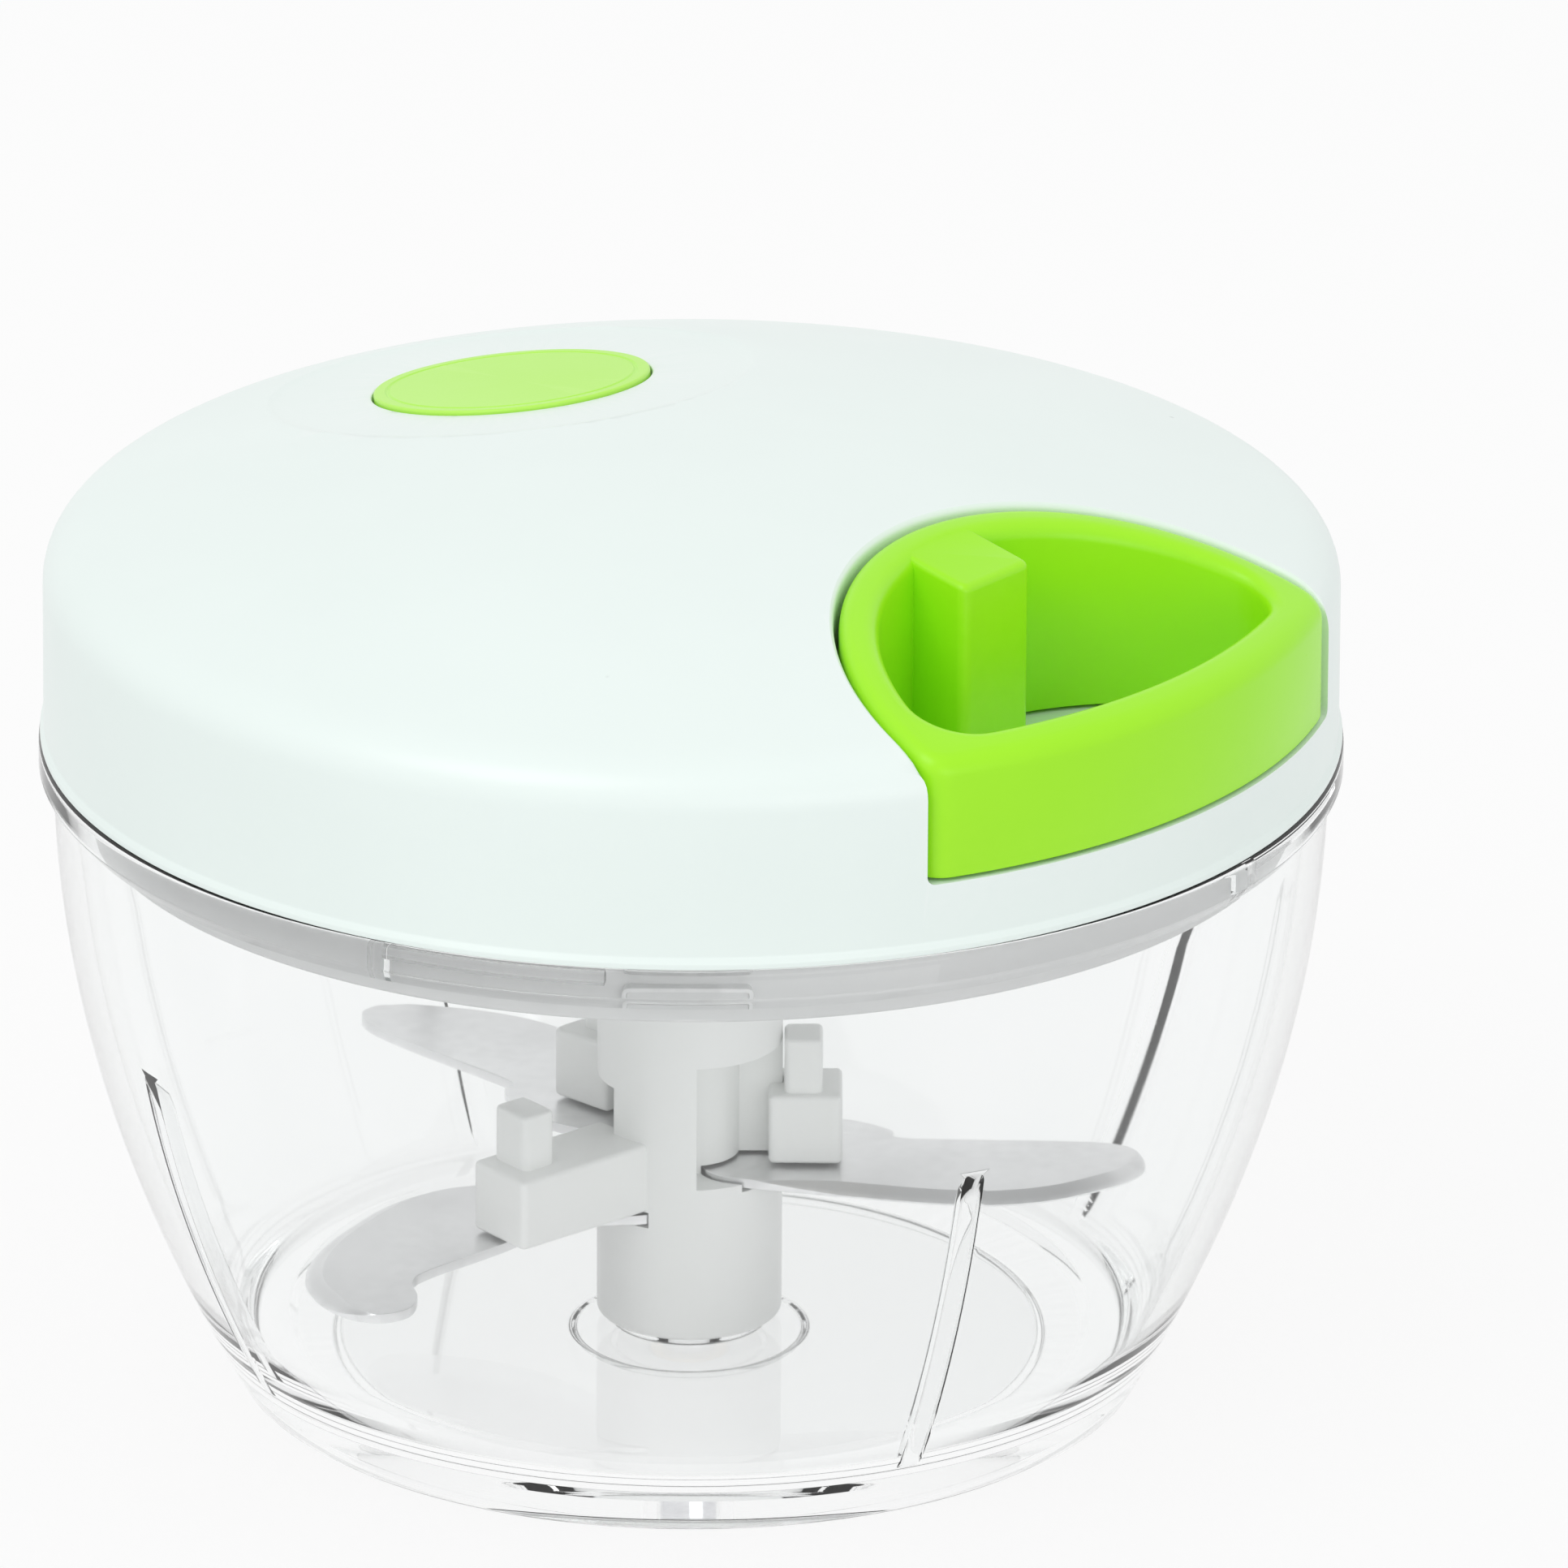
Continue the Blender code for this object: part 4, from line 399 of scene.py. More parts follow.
def clear_plastic():
    """Clear moulded plastic, greyer in its lowest few millimetres as a painted shade. Lamp rays pass it
    straight, so that what is inside is lit.
    """
    made, tree, shader, place = new_finish("clear plastic", Transmission_Weight=1.0, IOR=1.46)
    surface = grouped(tree, "Moulded Surface", Place=place, Peel=120.0, Cloud=30.0)
    use = grouped(tree, "Handling Marks", Place=place, Amount=0.6)
    height = add(tree, "ShaderNodeSeparateXYZ", {0: place})[2]
    base = mixed(tree, surface["Cloud"], (0.985, 0.99, 0.99), (0.96, 0.972, 0.97))
    # Painted shade: below a height of 4.5 to 6.5 mm the plastic turns greyer, so the bowl's floor looks
    # shaded.
    base = mixed(tree, ranged(tree, height, 0.0045, 0.0065, 1.0, 0.0), base, (0.94, 0.945, 0.945))
    rough = summed(tree, 0.015, (use["Wiped"], 0.03), (use["Lines"], 0.15))
    surfaced(tree, shader, base, rough, surface["Height"], 0.00001)
    straight = add(tree, "ShaderNodeBsdfTransparent", {"Color": (0.99, 0.99, 0.99)})[0]
    output(tree, add(tree, "ShaderNodeLightPath")["Is Shadow Ray"], shader.outputs[0], straight)
    return made


def steel(name, colour, dull, roughness, spread, fineness, direction=0.0, depth=0.000006):
    """Metal with its grinding lines, faint stains, and brighter edges, partly wear and partly a painted
    highlight.
    """
    made, tree, shader, place = new_finish(name, Metallic=1.0)
    brushed = grouped(tree, "Brushed Lines", Place=place, Fineness=fineness, Direction=direction)
    edge = grouped(tree, "Edge Wear And Highlight", Place=place)["Edge"]
    base = mixed(tree, brushed["Stain"], colour, dull)
    # Brighter edges: partly wear, partly a painted highlight.
    base = mixed(tree, edge, base, [min(1.0, c * 1.25) for c in colour])
    rough = summed(tree, roughness, (brushed["Lines"], spread), (brushed["Stain"], 0.06))
    surfaced(tree, shader, base, rough, brushed["Lines"], depth)
    return made


def silicone():
    made, tree, shader, place = new_finish("silicone", IOR=1.41)
    surface = grouped(tree, "Moulded Surface", Place=place, Peel=2200.0, Cloud=90.0)
    base = mixed(tree, surface["Cloud"], (0.72, 0.74, 0.73), (0.64, 0.66, 0.65))
    rough = ranged(tree, surface["Cloud"], 0.0, 1.0, 0.5, 0.62)
    surfaced(tree, shader, base, rough, surface["Height"], 0.00003)
    return made


def braided_cord():
    """A round braid: strands cross each other along the cord."""
    made, tree, shader, _ = new_finish("braided cord")
    along = add(tree, "ShaderNodeAttribute", attribute_name="cord_along")["Fac"]
    side = add(tree, "ShaderNodeAttribute", attribute_name="cord_side")["Vector"]
    across = add(tree, "ShaderNodeSeparateXYZ", {0: side})
    run = times(tree, along, 2600.0)
    strands = times(tree, maths(tree, "ARCTAN2", across[1], across[0]), 4.0)
    left = maths(tree, "SINE", maths(tree, "ADD", run, strands))
    right = maths(tree, "SINE", maths(tree, "SUBTRACT", run, strands))
    weave = maths(tree, "MAXIMUM", maths(tree, "ABSOLUTE", left), maths(tree, "ABSOLUTE", right))
    # Darker in the grooves between the strands and lighter on their crowns: painted shade in the grooves.
    base = mixed(tree, weave, (0.5, 0.5, 0.48), (0.84, 0.84, 0.81))
    surfaced(tree, shader, base, ranged(tree, weave, 0.0, 1.0, 0.95, 0.7), weave, 0.00012)
    return made


def make_finishes():
    """A material for each of the record's slots, and the rotor's own white.

    A plastic has its colour, its other shade, and the colour its edges lighten to, partly as rubbed wear and
    partly as a painted highlight; a metal has its colour and its stain.
    """
    white = (0.83, 0.915, 0.885), (0.815, 0.90, 0.87), (0.87, 0.93, 0.91)
    rotor = (0.93, 0.94, 0.93), (0.92, 0.93, 0.915), (0.95, 0.955, 0.95)
    grey = (0.83, 0.835, 0.835), (0.80, 0.805, 0.805), (1.0, 1.0, 1.0)
    green = (0.375, 0.875, 0.011), (0.36, 0.85, 0.009), (0.45, 0.92, 0.03)
    pale = (0.49, 0.92, 0.11), (0.475, 0.90, 0.10), (0.53, 0.93, 0.15)
    blade = (0.78, 0.78, 0.785), (0.74, 0.74, 0.745)
    polished = (0.76, 0.76, 0.78), (0.70, 0.70, 0.72)
    spring = (0.30, 0.31, 0.35), (0.22, 0.23, 0.28)
    brass = (0.78, 0.58, 0.27), (0.62, 0.44, 0.2)
    return {
        "clear_plastic": clear_plastic(),
        "white_plastic": moulded("white plastic", *white, 0.3, 0.4),
        "rotor_white": moulded("rotor white plastic", *rotor, 0.3, 0.4),
        # The grey plastic's edges lighten to white at full share: a painted highlight along its edges, such
        # as the lugs' outlines.
        "grey_plastic": moulded("grey plastic", *grey, 0.36, 0.5, edge_wear_highlight_share=1.0),
        "green_plastic": moulded("green plastic", *green, 0.3, 0.5, Specular_IOR_Level=0.4),
        "pale_green_plastic": moulded("pale green plastic", *pale, 0.34, 0.4, Specular_IOR_Level=0.4),
        "blade_steel": steel("blade steel", *blade, 0.24, 0.12, 9000.0, math.radians(20), 0.000002),
        "polished_steel": steel("polished steel", *polished, 0.1, 0.08, 9000.0),
        "spring_steel": steel("spring steel", *spring, 0.28, 0.18, 3600.0),
        "brass": steel("brass", *brass, 0.22, 0.2, 3000.0),
        "silicone": silicone(),
        "cord": braided_cord(),
    }


# Outlines and loops of points

def arc(radius, start, end, steps, centre=(0.0, 0.0)):
    """Points on a circle, from the start angle to the end angle."""
    angles = [start + (end - start) * k / steps for k in range(steps + 1)]
    return [(centre[0] + radius * math.cos(a), centre[1] + radius * math.sin(a)) for a in angles]


def circle(radius, steps, centre=(0.0, 0.0)):
    return arc(radius, 0, TURN * (1 - 1 / steps), steps - 1, centre)


def curve_point(start, corner, end, part):
    """A point of the curve that leaves its start, and reaches its end, along the lines to the corner."""
    return start.lerp(corner, part).lerp(corner.lerp(end, part), part)


def rounded(corners):
    """A closed outline with a fillet at each corner that has a third number, its radius.

    A point close to each end of a fillet keeps the flat beside it flat in the shading.
    """
    longest, beside = 0.42, 1.15
    found = []
    for k, (x, y, *fillet) in enumerate(corners):
        if not fillet:
            found.append((x, y))
            continue
        here = Vector((x, y))
        before = Vector(corners[k - 1][:2]) - here
        after = Vector(corners[(k + 1) % len(corners)][:2]) - here
        reach = fillet[0] / math.tan(before.angle(after) / 2)
        reach = min(reach, longest * before.length, longest * after.length)
        start, end = here + before.normalized() * reach, here + after.normalized() * reach
        found.append(tuple(here + before.normalized() * reach * beside))
        found += [tuple(curve_point(start, here, end, n / FILLET_STEPS)) for n in range(FILLET_STEPS + 1)]
        found.append(tuple(here + after.normalized() * reach * beside))
    return found


def grown(outline, amount):
    """A closed outline, listed anticlockwise, moved outward by an amount."""
    found = []
    for k, point in enumerate(outline):
        here = Vector(point)
        before = (here - Vector(outline[k - 1])).normalized()
        after = (Vector(outline[(k + 1) % len(outline)]) - here).normalized()
        way = before + after
        outward = Vector((way.y, -way.x)).normalized()
        spread = max(0.5, outward.dot(Vector((after.y, -after.x))))
        found.append(tuple(here + outward * amount / spread))
    return found


def turned_in(outline, insets):
    """An outline listed clockwise, with each point moved inward by its own amount."""
    found = []
    for k, (point, amount) in enumerate(zip(outline, insets)):
        way = (Vector(outline[(k + 1) % len(outline)]) - Vector(outline[k - 1])).normalized()
        found.append(tuple(Vector(point) + Vector((way.y, -way.x)) * amount))
    return found


def level(outline, height):
    """An outline as a loop of (x, y, z) points."""
    return [(x, y, height) for x, y in outline]


def over_edge(radius, steps=FILLET_STEPS):
    """How far each loop of a rounded edge lies in from its side, and down from its face."""
    angles = [math.pi / 2 * k / steps for k in range(steps + 1)]
    return [(radius * (1 - math.cos(a)), radius * (1 - math.sin(a))) for a in angles]


# Shapes, each a bmesh in millimetres

def bridge(shape, first, second):
    """Joins two loops of the same length, or a loop and a single point, with faces."""
    count = max(len(first), len(second))
    for k in range(count):
        after = (k + 1) % count
        corners = ((first, k), (first, after), (second, after), (second, k))
        shape.faces.new(list(dict.fromkeys(loop[n % len(loop)] for loop, n in corners)))


def tidy(shape):
    bmesh.ops.recalc_face_normals(shape, faces=shape.faces)
    return shape


def turned(profile, steps=ROUND_STEPS):
    """A solid turned about Z from the (radius, height) corners of a closed profile, and their fillets."""
    shape = bmesh.new()
    rings = []
    for radius, height in rounded(profile):
        points = circle(radius, steps) if radius > 0 else [(0, 0)]
        rings.append([shape.verts.new(point) for point in level(points, height)])
    for lower, upper in zip(rings, rings[1:] + rings[:1]):
        if len(lower) + len(upper) > 2:
            bridge(shape, lower, upper)
    return tidy(shape)


def tube(inner, outer, low, high, fillets=(0, 0, 0, 0), steps=SMALL_STEPS):
    """A ring, or a pin where its inner radius is 0. Its fillets go round it from the inner lower edge."""
    corners = ((inner, low), (outer, low), (outer, high), (inner, high))
    profile = [(*corner, fillet) if fillet else corner for corner, fillet in zip(corners, fillets)]
    return turned(profile, steps)


def stacked(loops, ends=True):
    """A solid from a stack of loops of (x, y, z) points, with a face on both ends, or else a ring."""
    shape = bmesh.new()
    rings = [[shape.verts.new(point) for point in loop] for loop in loops]
    for lower, upper in zip(rings, rings[1:] if ends else rings[1:] + rings[:1]):
        bridge(shape, lower, upper)
    if ends:
        shape.faces.new(rings[0])
        shape.faces.new(rings[-1])
    return tidy(shape)


def slab(outline, low, high, edge_low=0.0, edge_high=0.0):
    """An upright solid on an outline, with its lower and upper edges rounded."""
    bottom = [level(grown(outline, -inset), low + lift) for inset, lift in over_edge(edge_low)]
    top = [level(grown(outline, -inset), high - drop) for inset, drop in over_edge(edge_high)]
    return stacked((bottom[::-1] if edge_low else bottom[:1]) + (top if edge_high else top[:1]))


def upright(radius, low, high, place=(0.0, 0.0), steps=SMALL_STEPS, edge=0.0):
    return slab(circle(radius, steps, place), low, high, edge, edge)


def bar(low, high, corner=0.0, edge=0.0):
    """A straight block with rounded upright corners and rounded lower and upper edges."""
    corners = [(low[0], low[1]), (high[0], low[1]), (high[0], high[1]), (low[0], high[1])]
    outline = rounded([(x, y, corner) for x, y in corners]) if corner else corners
    return slab(outline, low[2], high[2], edge, edge)


def moved(shape, matrix):
    bmesh.ops.transform(shape, matrix=matrix, verts=shape.verts)
    return shape


def to_azimuth(shape, azimuth):
    return moved(shape, Matrix.Rotation(azimuth, 4, "Z"))


def to_handle(shape):
    return to_azimuth(shape, HANDLE_AZIMUTH)


def along_cord(shape):
    """Turns a shape from the Z axis to the X axis, at the cord's height."""
    return moved(shape, Matrix.Translation((0, 0, CORD_LEVEL)) @ Matrix.Rotation(math.radians(90), 4, "Y"))


def together(first, *others):
    """One shape that holds all the others, as separate closed bodies."""
    for other in others:
        mesh = as_mesh(other)
        first.from_mesh(mesh)
        bpy.data.meshes.remove(mesh)
    return first


def as_mesh(shape):
    mesh = bpy.data.meshes.new("shape")
    shape.to_mesh(mesh)
    shape.free()
    return mesh


def evaluated(made):
    """The plain mesh of an object with its modifiers, as a shape. The object goes."""
    graph = bpy.context.evaluated_depsgraph_get()
    mesh = bpy.data.meshes.new_from_object(made.evaluated_get(graph))
    made.modifiers.clear()
    shape = bmesh.new()
    shape.from_mesh(mesh)
    bpy.data.objects.remove(made)
    return shape


def boolean(first, operation, *others):
    for other in others:
        base, tool = placed("base", as_mesh(first)), placed("tool", as_mesh(other))
        modifier = base.modifiers.new(operation, "BOOLEAN")
        modifier.object = tool
        modifier.operation = operation
        modifier.solver = "EXACT"
        first = evaluated(base)
        bpy.data.objects.remove(tool)
    return first


def joined(first, *others):
    return boolean(first, "UNION", *others)


def less(first, *others):
    return boolean(first, "DIFFERENCE", *others)


# Geometry Nodes

def shape_group(name, inputs):
    return group(name, "GeometryNodeTree", inputs | {"Finish": "Material"}, ("Shape",), "Geometry")


def painted(tree, given, sent, shape):
    """Ends a tree with plain geometry in its finish."""
    real = add(tree, "GeometryNodeRealizeInstances", {"Geometry": shape})[0]
    inputs = {"Geometry": real, "Material": given["Finish"]}
    feed(sent["Shape"], add(tree, "GeometryNodeSetMaterial", inputs)[0])
    return tree


def repeat_tree():
    """Copies of a shape, evenly round the Z axis."""
    inputs = {"Shape": "Geometry", "Count": 4, "First Angle": 0.0}
    tree, given, sent = shape_group("Repeat Round Axis", inputs)
    step = maths(tree, "DIVIDE", TURN, given["Count"])
    index = add(tree, "GeometryNodeInputIndex")[0]
    angle = maths(tree, "MULTIPLY_ADD", index, step, given["First Angle"])
    turn = add(tree, "FunctionNodeAxisAngleToRotation", {"Axis": (0, 0, 1), "Angle": angle})[0]
    points = add(tree, "GeometryNodePoints", {"Count": given["Count"]})[0]
    inputs = {"Points": points, "Instance": given["Shape"], "Rotation": turn}
    return painted(tree, given, sent, add(tree, "GeometryNodeInstanceOnPoints", inputs)[0])


def swept(tree, given, sent, curve, section):
    inputs = {"Curve": curve, "Profile Curve": section, "Fill Caps": True}
    return painted(tree, given, sent, add(tree, "GeometryNodeCurveToMesh", inputs)[0])


def marked(tree, curve, name, value, kind):
    """A curve with a value kept at each of its points."""
    inputs = {"Geometry": curve, "Name": name, "Value": value}
    return add(tree, "GeometryNodeStoreNamedAttribute", inputs, data_type=kind)[0]


def swept_cord(tree, given, sent, curve):
    """Gives a curve the cord's round section, and marks each point's place along and round the cord."""
    run = times(tree, add(tree, "GeometryNodeSplineParameter")["Length"], MM)
    inputs = {"Resolution": 16, "Radius": given["Cord Radius"]}
    section = add(tree, "GeometryNodeCurvePrimitiveCircle", inputs)[0]
    side = add(tree, "GeometryNodeInputPosition")[0]
    section = marked(tree, section, "cord_side", side, "FLOAT_VECTOR")
    return swept(tree, given, sent, marked(tree, curve, "cord_along", run, "FLOAT"), section)


def laid_cord_tree():
    """A cord along a given curve."""
    tree, given, sent = shape_group("Laid Cord", {"Path": "Geometry", "Cord Radius": CORD_RADIUS})
    return swept_cord(tree, given, sent, given["Path"])


def spiral_group(name, inputs):
    """A group that winds something in a spiral, and the sizes that it takes for this."""
    labels = ("Turns", "Start Radius", "End Radius", "Rise", "Low", "Start Angle")
    return shape_group(name, {label: 1.0 for label in labels} | inputs)


def spiral_curve(tree, given, steps):
    inputs = {"Resolution": steps, "Rotations": given["Turns"], "Height": given["Rise"]}
    inputs |= {label: given[label] for label in ("Start Radius", "End Radius")}
    curve = add(tree, "GeometryNodeCurveSpiral", inputs)[0]
    turn = add(tree, "ShaderNodeCombineXYZ", {2: given["Start Angle"]})[0]
    lift = add(tree, "ShaderNodeCombineXYZ", {2: given["Low"]})[0]
    inputs = {"Geometry": curve, "Translation": lift, "Rotation": turn}
    return add(tree, "GeometryNodeTransform", inputs)[0]


def wound_cord_tree():
    """A cord in even turns on a drum."""
    tree, given, sent = spiral_group("Wound Cord", {"Cord Radius": CORD_RADIUS})
    return swept_cord(tree, given, sent, spiral_curve(tree, given, 64))


def flat_spring_tree():
    """A strip of spring steel on edge, wound in a flat spiral."""
    sizes = {"Thickness": SPRING_THICK, "Strip Width": SPRING_WIDTH}
    tree, given, sent = spiral_group("Flat Spring", sizes)
    inputs = {"Width": given["Thickness"], "Height": given["Strip Width"]}
    section = add(tree, "GeometryNodeCurvePrimitiveQuadrilateral", inputs)[0]
    return swept(tree, given, sent, spiral_curve(tree, given, 48), section)


TREES = {made.name: made for made in (repeat_tree(), laid_cord_tree(), wound_cord_tree(), flat_spring_tree())}


def grown_by_nodes(made, tree_name, **values):
    """The shape that a tree makes of an object, with the tree's named inputs set."""
    modifier = made.modifiers.new(tree_name, "NODES")
    modifier.node_group = TREES[tree_name]
    for item in TREES[tree_name].interface.items_tree:
        key = item.name.replace(" ", "_")
        if key in values:
            modifier[item.identifier] = values[key]
    return evaluated(made)


def round_axis(shape, count, first_angle=HANDLE_AZIMUTH):
    made = placed("repeated", as_mesh(shape))
    return grown_by_nodes(made, "Repeat Round Axis", Count=count, First_Angle=first_angle)


def spiral(tree_name, **values):
    """What a spiral tree makes by itself, on an empty object."""
    return grown_by_nodes(placed("spiral", bpy.data.meshes.new("spiral")), tree_name, **values)


# Finished pieces

FINISHES = make_finishes()


def piece(name, shape, slot, body, *nodes, smooth=34, finish=None):
    """Makes a shape a finished piece in metres, which rides on a body and stands for CAD nodes."""
    mesh = as_mesh(shape)
    mesh.name = name
    mesh.transform(Matrix.Scale(MM, 4))
    mesh.materials.clear()
    mesh.materials.append(FINISHES[finish or slot])
    mesh.polygons.foreach_set("material_index", [0] * len(mesh.polygons))
    mesh.polygons.foreach_set("use_smooth", [True] * len(mesh.polygons))
    mesh.set_sharp_from_angle(angle=math.radians(smooth))
    made = placed(name, mesh)
    if body:
        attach(made, body)
    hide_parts(*nodes)
    return made


# Bowl

def bowl_radius(height):
    """Outer radius of the bowl: it swells from the base and stands upright at the neck."""
    part = min(height / NECK_HEIGHT, 1.0)
    return BASE_RADIUS + (NECK_RADIUS - BASE_RADIUS) * (1 - (1 - part) ** 2)


def bowl_inner_radius(height):
    slope = 2 * (NECK_RADIUS - BASE_RADIUS) * max(1 - height / NECK_HEIGHT, 0) / NECK_HEIGHT
    return min(bowl_radius(height) - BOWL_WALL * math.sqrt(1 + slope**2), NECK_INNER)


def bowl_shell():
    """The bowl as one turned wall, with its foot, floor rings, boss and lip."""
    steps = 30
    wall = [k / steps for k in range(steps + 1)]
    outside_heights = [0.55 + 60.05 * part for part in wall]
    inside_heights = [63.6 - 53.2 * part for part in wall]
    profile = [(0, 0.5), (11.0, 0.5, 0.4), (11.5, 1.5, 0.5), (33.9, 1.5, 0.4), (34.5, 0, 0.4)]
    profile += [(43.0, 0, 0.45)] + [(bowl_radius(height), height) for height in outside_heights]
    profile += [(RIM_RADIUS, 62.2, 0.3), (RIM_RADIUS, RIM_HEIGHT, 0.75), (NECK_INNER, RIM_HEIGHT, 0.5)]
    profile += [(bowl_inner_radius(height), height) for height in inside_heights]
    profile += [(43.6, 5.75, 4.0), (39.0, 5.3, 0.4), (38.1, BOWL_FLOOR, 0.4), (7.6, BOWL_FLOOR, 0.3)]
    profile += [(7.0, 5.1, 0.25), (2.8, 5.1), (2.8, 1.6), (0, 1.6)]
    return turned(profile, FINE_STEPS)


def bowl_rib():
    """One upright rib at azimuth 0, sunk into wall and floor, which runs out into the wall at its top."""
    steps, start, run_out = 20, 6.2, 2.5
    rows = []
    for k in range(steps + 1):
        height = start + (RIB_TOP - start) * k / steps
        depth = RIB_DEPTH * min(1.0, math.sqrt(max(0.0, RIB_TOP - height) / run_out))
        rows.append((bowl_inner_radius(height) - depth, bowl_inner_radius(height) + BOWL_WALL / 2, height))
    rows.insert(0, (rows[0][0] - 1.6, rows[0][0] + 0.6, 3.4))
    half = RIB_WIDTH / 2
    corner = 0.45
    loops = []
    for inner, outer, height in rows:
        side = [(outer, half), (inner + corner, half)]
        side += [(inner + corner * 0.3, half - corner * 0.3), (inner, half - corner)]
        mirrored = [(x, -y) for x, y in side]
        loops.append(level(mirrored[:1] + side + mirrored[:0:-1], height))
    return stacked(loops)


def curved_bar(inner, outer, start, end, low, high, steps=12):
    outline = arc(outer, start, end, steps) + arc(inner, end, start, steps)
    return stacked([level(outline, low), level(outline, high)])


def bowl_ledge():
    """A bayonet ledge with its stop, at the azimuth of a lug."""
    start = -LUG_HALF_ANGLE - math.radians(1.6)
    stop = -LUG_HALF_ANGLE - LOCK_ANGLE - math.radians(0.6)
    ledge = curved_bar(57.6, 59.6, stop, start, LEDGE_BOTTOM, LEDGE_TOP)
    post = curved_bar(57.5, 60.0, stop - math.radians(1.5), stop, LUG_BOTTOM, LEDGE_TOP + 0.1, 3)
    return joined(ledge, post)


def make_bowl():
    ribs = round_axis(bowl_rib(), 4, RIB_AZIMUTH)
    ledges = round_axis(bowl_ledge(), 4, LUG_AZIMUTH)
    piece("clear_bowl", joined(bowl_shell(), ribs, ledges), "clear_plastic", "bowl", "bowl", smooth=30)
    pin = tube(0, 2.5, 1.9, 15.0, (0, 0.15, 0.6, 0))
    groove = tube(2.25, 2.8, 12.6, 13.1)
    piece("bowl_pivot", less(pin, groove), "polished_steel", "bowl", "pivot_pin")


def make_seal():
    profile = [(58.05, 64.2, 0.15), (58.6, 64.75, 0.12), (58.05, 65.3, 0.12)]
    profile += [(57.5, 65.3, 0.12), (57.5, 64.2, 0.12)]
    piece("sealing_ring", turned(profile, FINE_STEPS), "silicone", "seal", "seal_ring")


# Lid

def wrapped(shape, radius):
    """Bends a flat shape round the Z axis: X runs round, Y stands up, Z leaves the axis."""
    for vert in shape.verts:
        across, up, out = vert.co
        angle = across / radius
        vert.co = ((radius + out) * math.cos(angle), (radius + out) * math.sin(angle), up)
    return tidy(shape)


def lid_lug():
    """A bayonet lug with rounded ends and a shallow recess in its face."""
    low, high, half = LUG_BOTTOM, LUG_BOTTOM + LUG_HEIGHT, LUG_LENGTH / 2
    face = rounded([(x, y, 0.85) for x, y in ((-half, low), (half, low), (half, high), (-half, high))])
    steps = ((0.06, 1.14), (0.2, 1.2), (0.42, 1.2), (0.5, 0.85))
    loops = [level(face, -0.5), level(face, 1.0)] + [level(grown(face, -inset), out) for inset, out in steps]
    return wrapped(stacked(loops), SKIRT_RADIUS)


def make_tray():
    """The lid's base: a skirt with lugs, a floor with stiffening ribs, and a collar for the bearing."""
    profile = [(9.9, 57.6, 0.2), (12.3, 57.6, 0.3), (12.3, 60.0, 0.4), (SKIRT_INNER, 60.0, 0.5)]
    profile += [(SKIRT_INNER, 58.0, 0.3), (SKIRT_RADIUS, 58.0, 0.4), (SKIRT_RADIUS, 65.6, 0.2)]
    profile += [(59.7, 65.6, 0.15), (59.7, 67.1, 0.3), (SKIRT_INNER, 67.1, 0.3)]
    profile += [(SKIRT_INNER, 62.0, 0.4), (9.9, 62.0, 0.2)]
    seats = round_axis(upright(SCREW_HOLE, 58.5, 63.0, (SCREW_CIRCLE, 0), SCREW_STEPS), 4)
    tray = less(turned(profile, FINE_STEPS), seats)
    ring = tube(30.0, 31.2, 59.4, 60.5, (0.2, 0.2, 0, 0), FINE_STEPS)
    spoke = bar((13.0, -0.6, 59.4), (55.6, 0.6, 60.5), 0.0, 0.2)
    spokes = round_axis(spoke, 4, HANDLE_AZIMUTH + math.radians(45))
    lugs = round_axis(lid_lug(), 4, LUG_AZIMUTH)
    piece("lid_tray", together(tray, ring, spokes, lugs), "grey_plastic", "lid", "lid_base")


def dome_height(radius, drop=0.0):
    return DOME_TOP - drop - radius**2 / (2 * DOME_RADIUS)


def dome_side(radius, drop):
    """The dome and its rounded shoulder as (radius, height) points, from the axis out to a side radius."""
    dome_steps, shoulder_steps = 36, 10
    turn_in = radius - SHOULDER
    radii = [turn_in * k / dome_steps for k in range(dome_steps + 1)]
    points = [(r, dome_height(r, drop)) for r in radii]
    start = Vector(points[-1])
    corner = Vector((radius, start.y - SHOULDER * turn_in / DOME_RADIUS))
    end = Vector((radius, corner.y - SHOULDER_DROP))
    for k in range(1, shoulder_steps + 1):
        points.append(tuple(curve_point(start, corner, end, k / shoulder_steps)))
    return points


OUTER_SIDE = dome_side(COVER_RADIUS, 0)


def cover_height(radius):
    """Height of the cover's outer face at a radius, over dome and shoulder."""
    for (r0, z0), (r1, z1) in zip(OUTER_SIDE, OUTER_SIDE[1:]):
        if radius <= r1 and r1 > r0:
            return z0 + (z1 - z0) * (radius - r0) / (r1 - r0)
    return OUTER_SIDE[-1][1]


def on_cover(outline, drop):
    """An outline laid a little below the cover's face, or above it."""
    widest = COVER_RADIUS - 0.4
    return [(x, y, cover_height(min(math.hypot(x, y), widest)) - drop) for x, y in outline]


def pocket_circle(radius):
    return circle(radius, FINE_STEPS, (POCKET_CENTRE, 0))


def pocket_cutter():
    """The handle's pocket: a filleted floor, an upright wall, and a softened brim that follows the cover."""
    fillet, widest = 0.8, 0.7
    loops = [level(pocket_circle(POCKET_RADIUS - fillet * 1.2), POCKET_FLOOR)]
    for lift, inset in over_edge(fillet):
        loops.append(level(pocket_circle(POCKET_RADIUS - inset), POCKET_FLOOR + lift))
    for grow, drop in ((0.0, 0.7), (0.04, 0.42), (0.16, 0.18), (0.36, 0.02), (widest, -0.3)):
        loops.append(on_cover(pocket_circle(POCKET_RADIUS + grow), drop))
    loops.append(level(pocket_circle(POCKET_RADIUS + widest), 110.0))
    return stacked(loops)


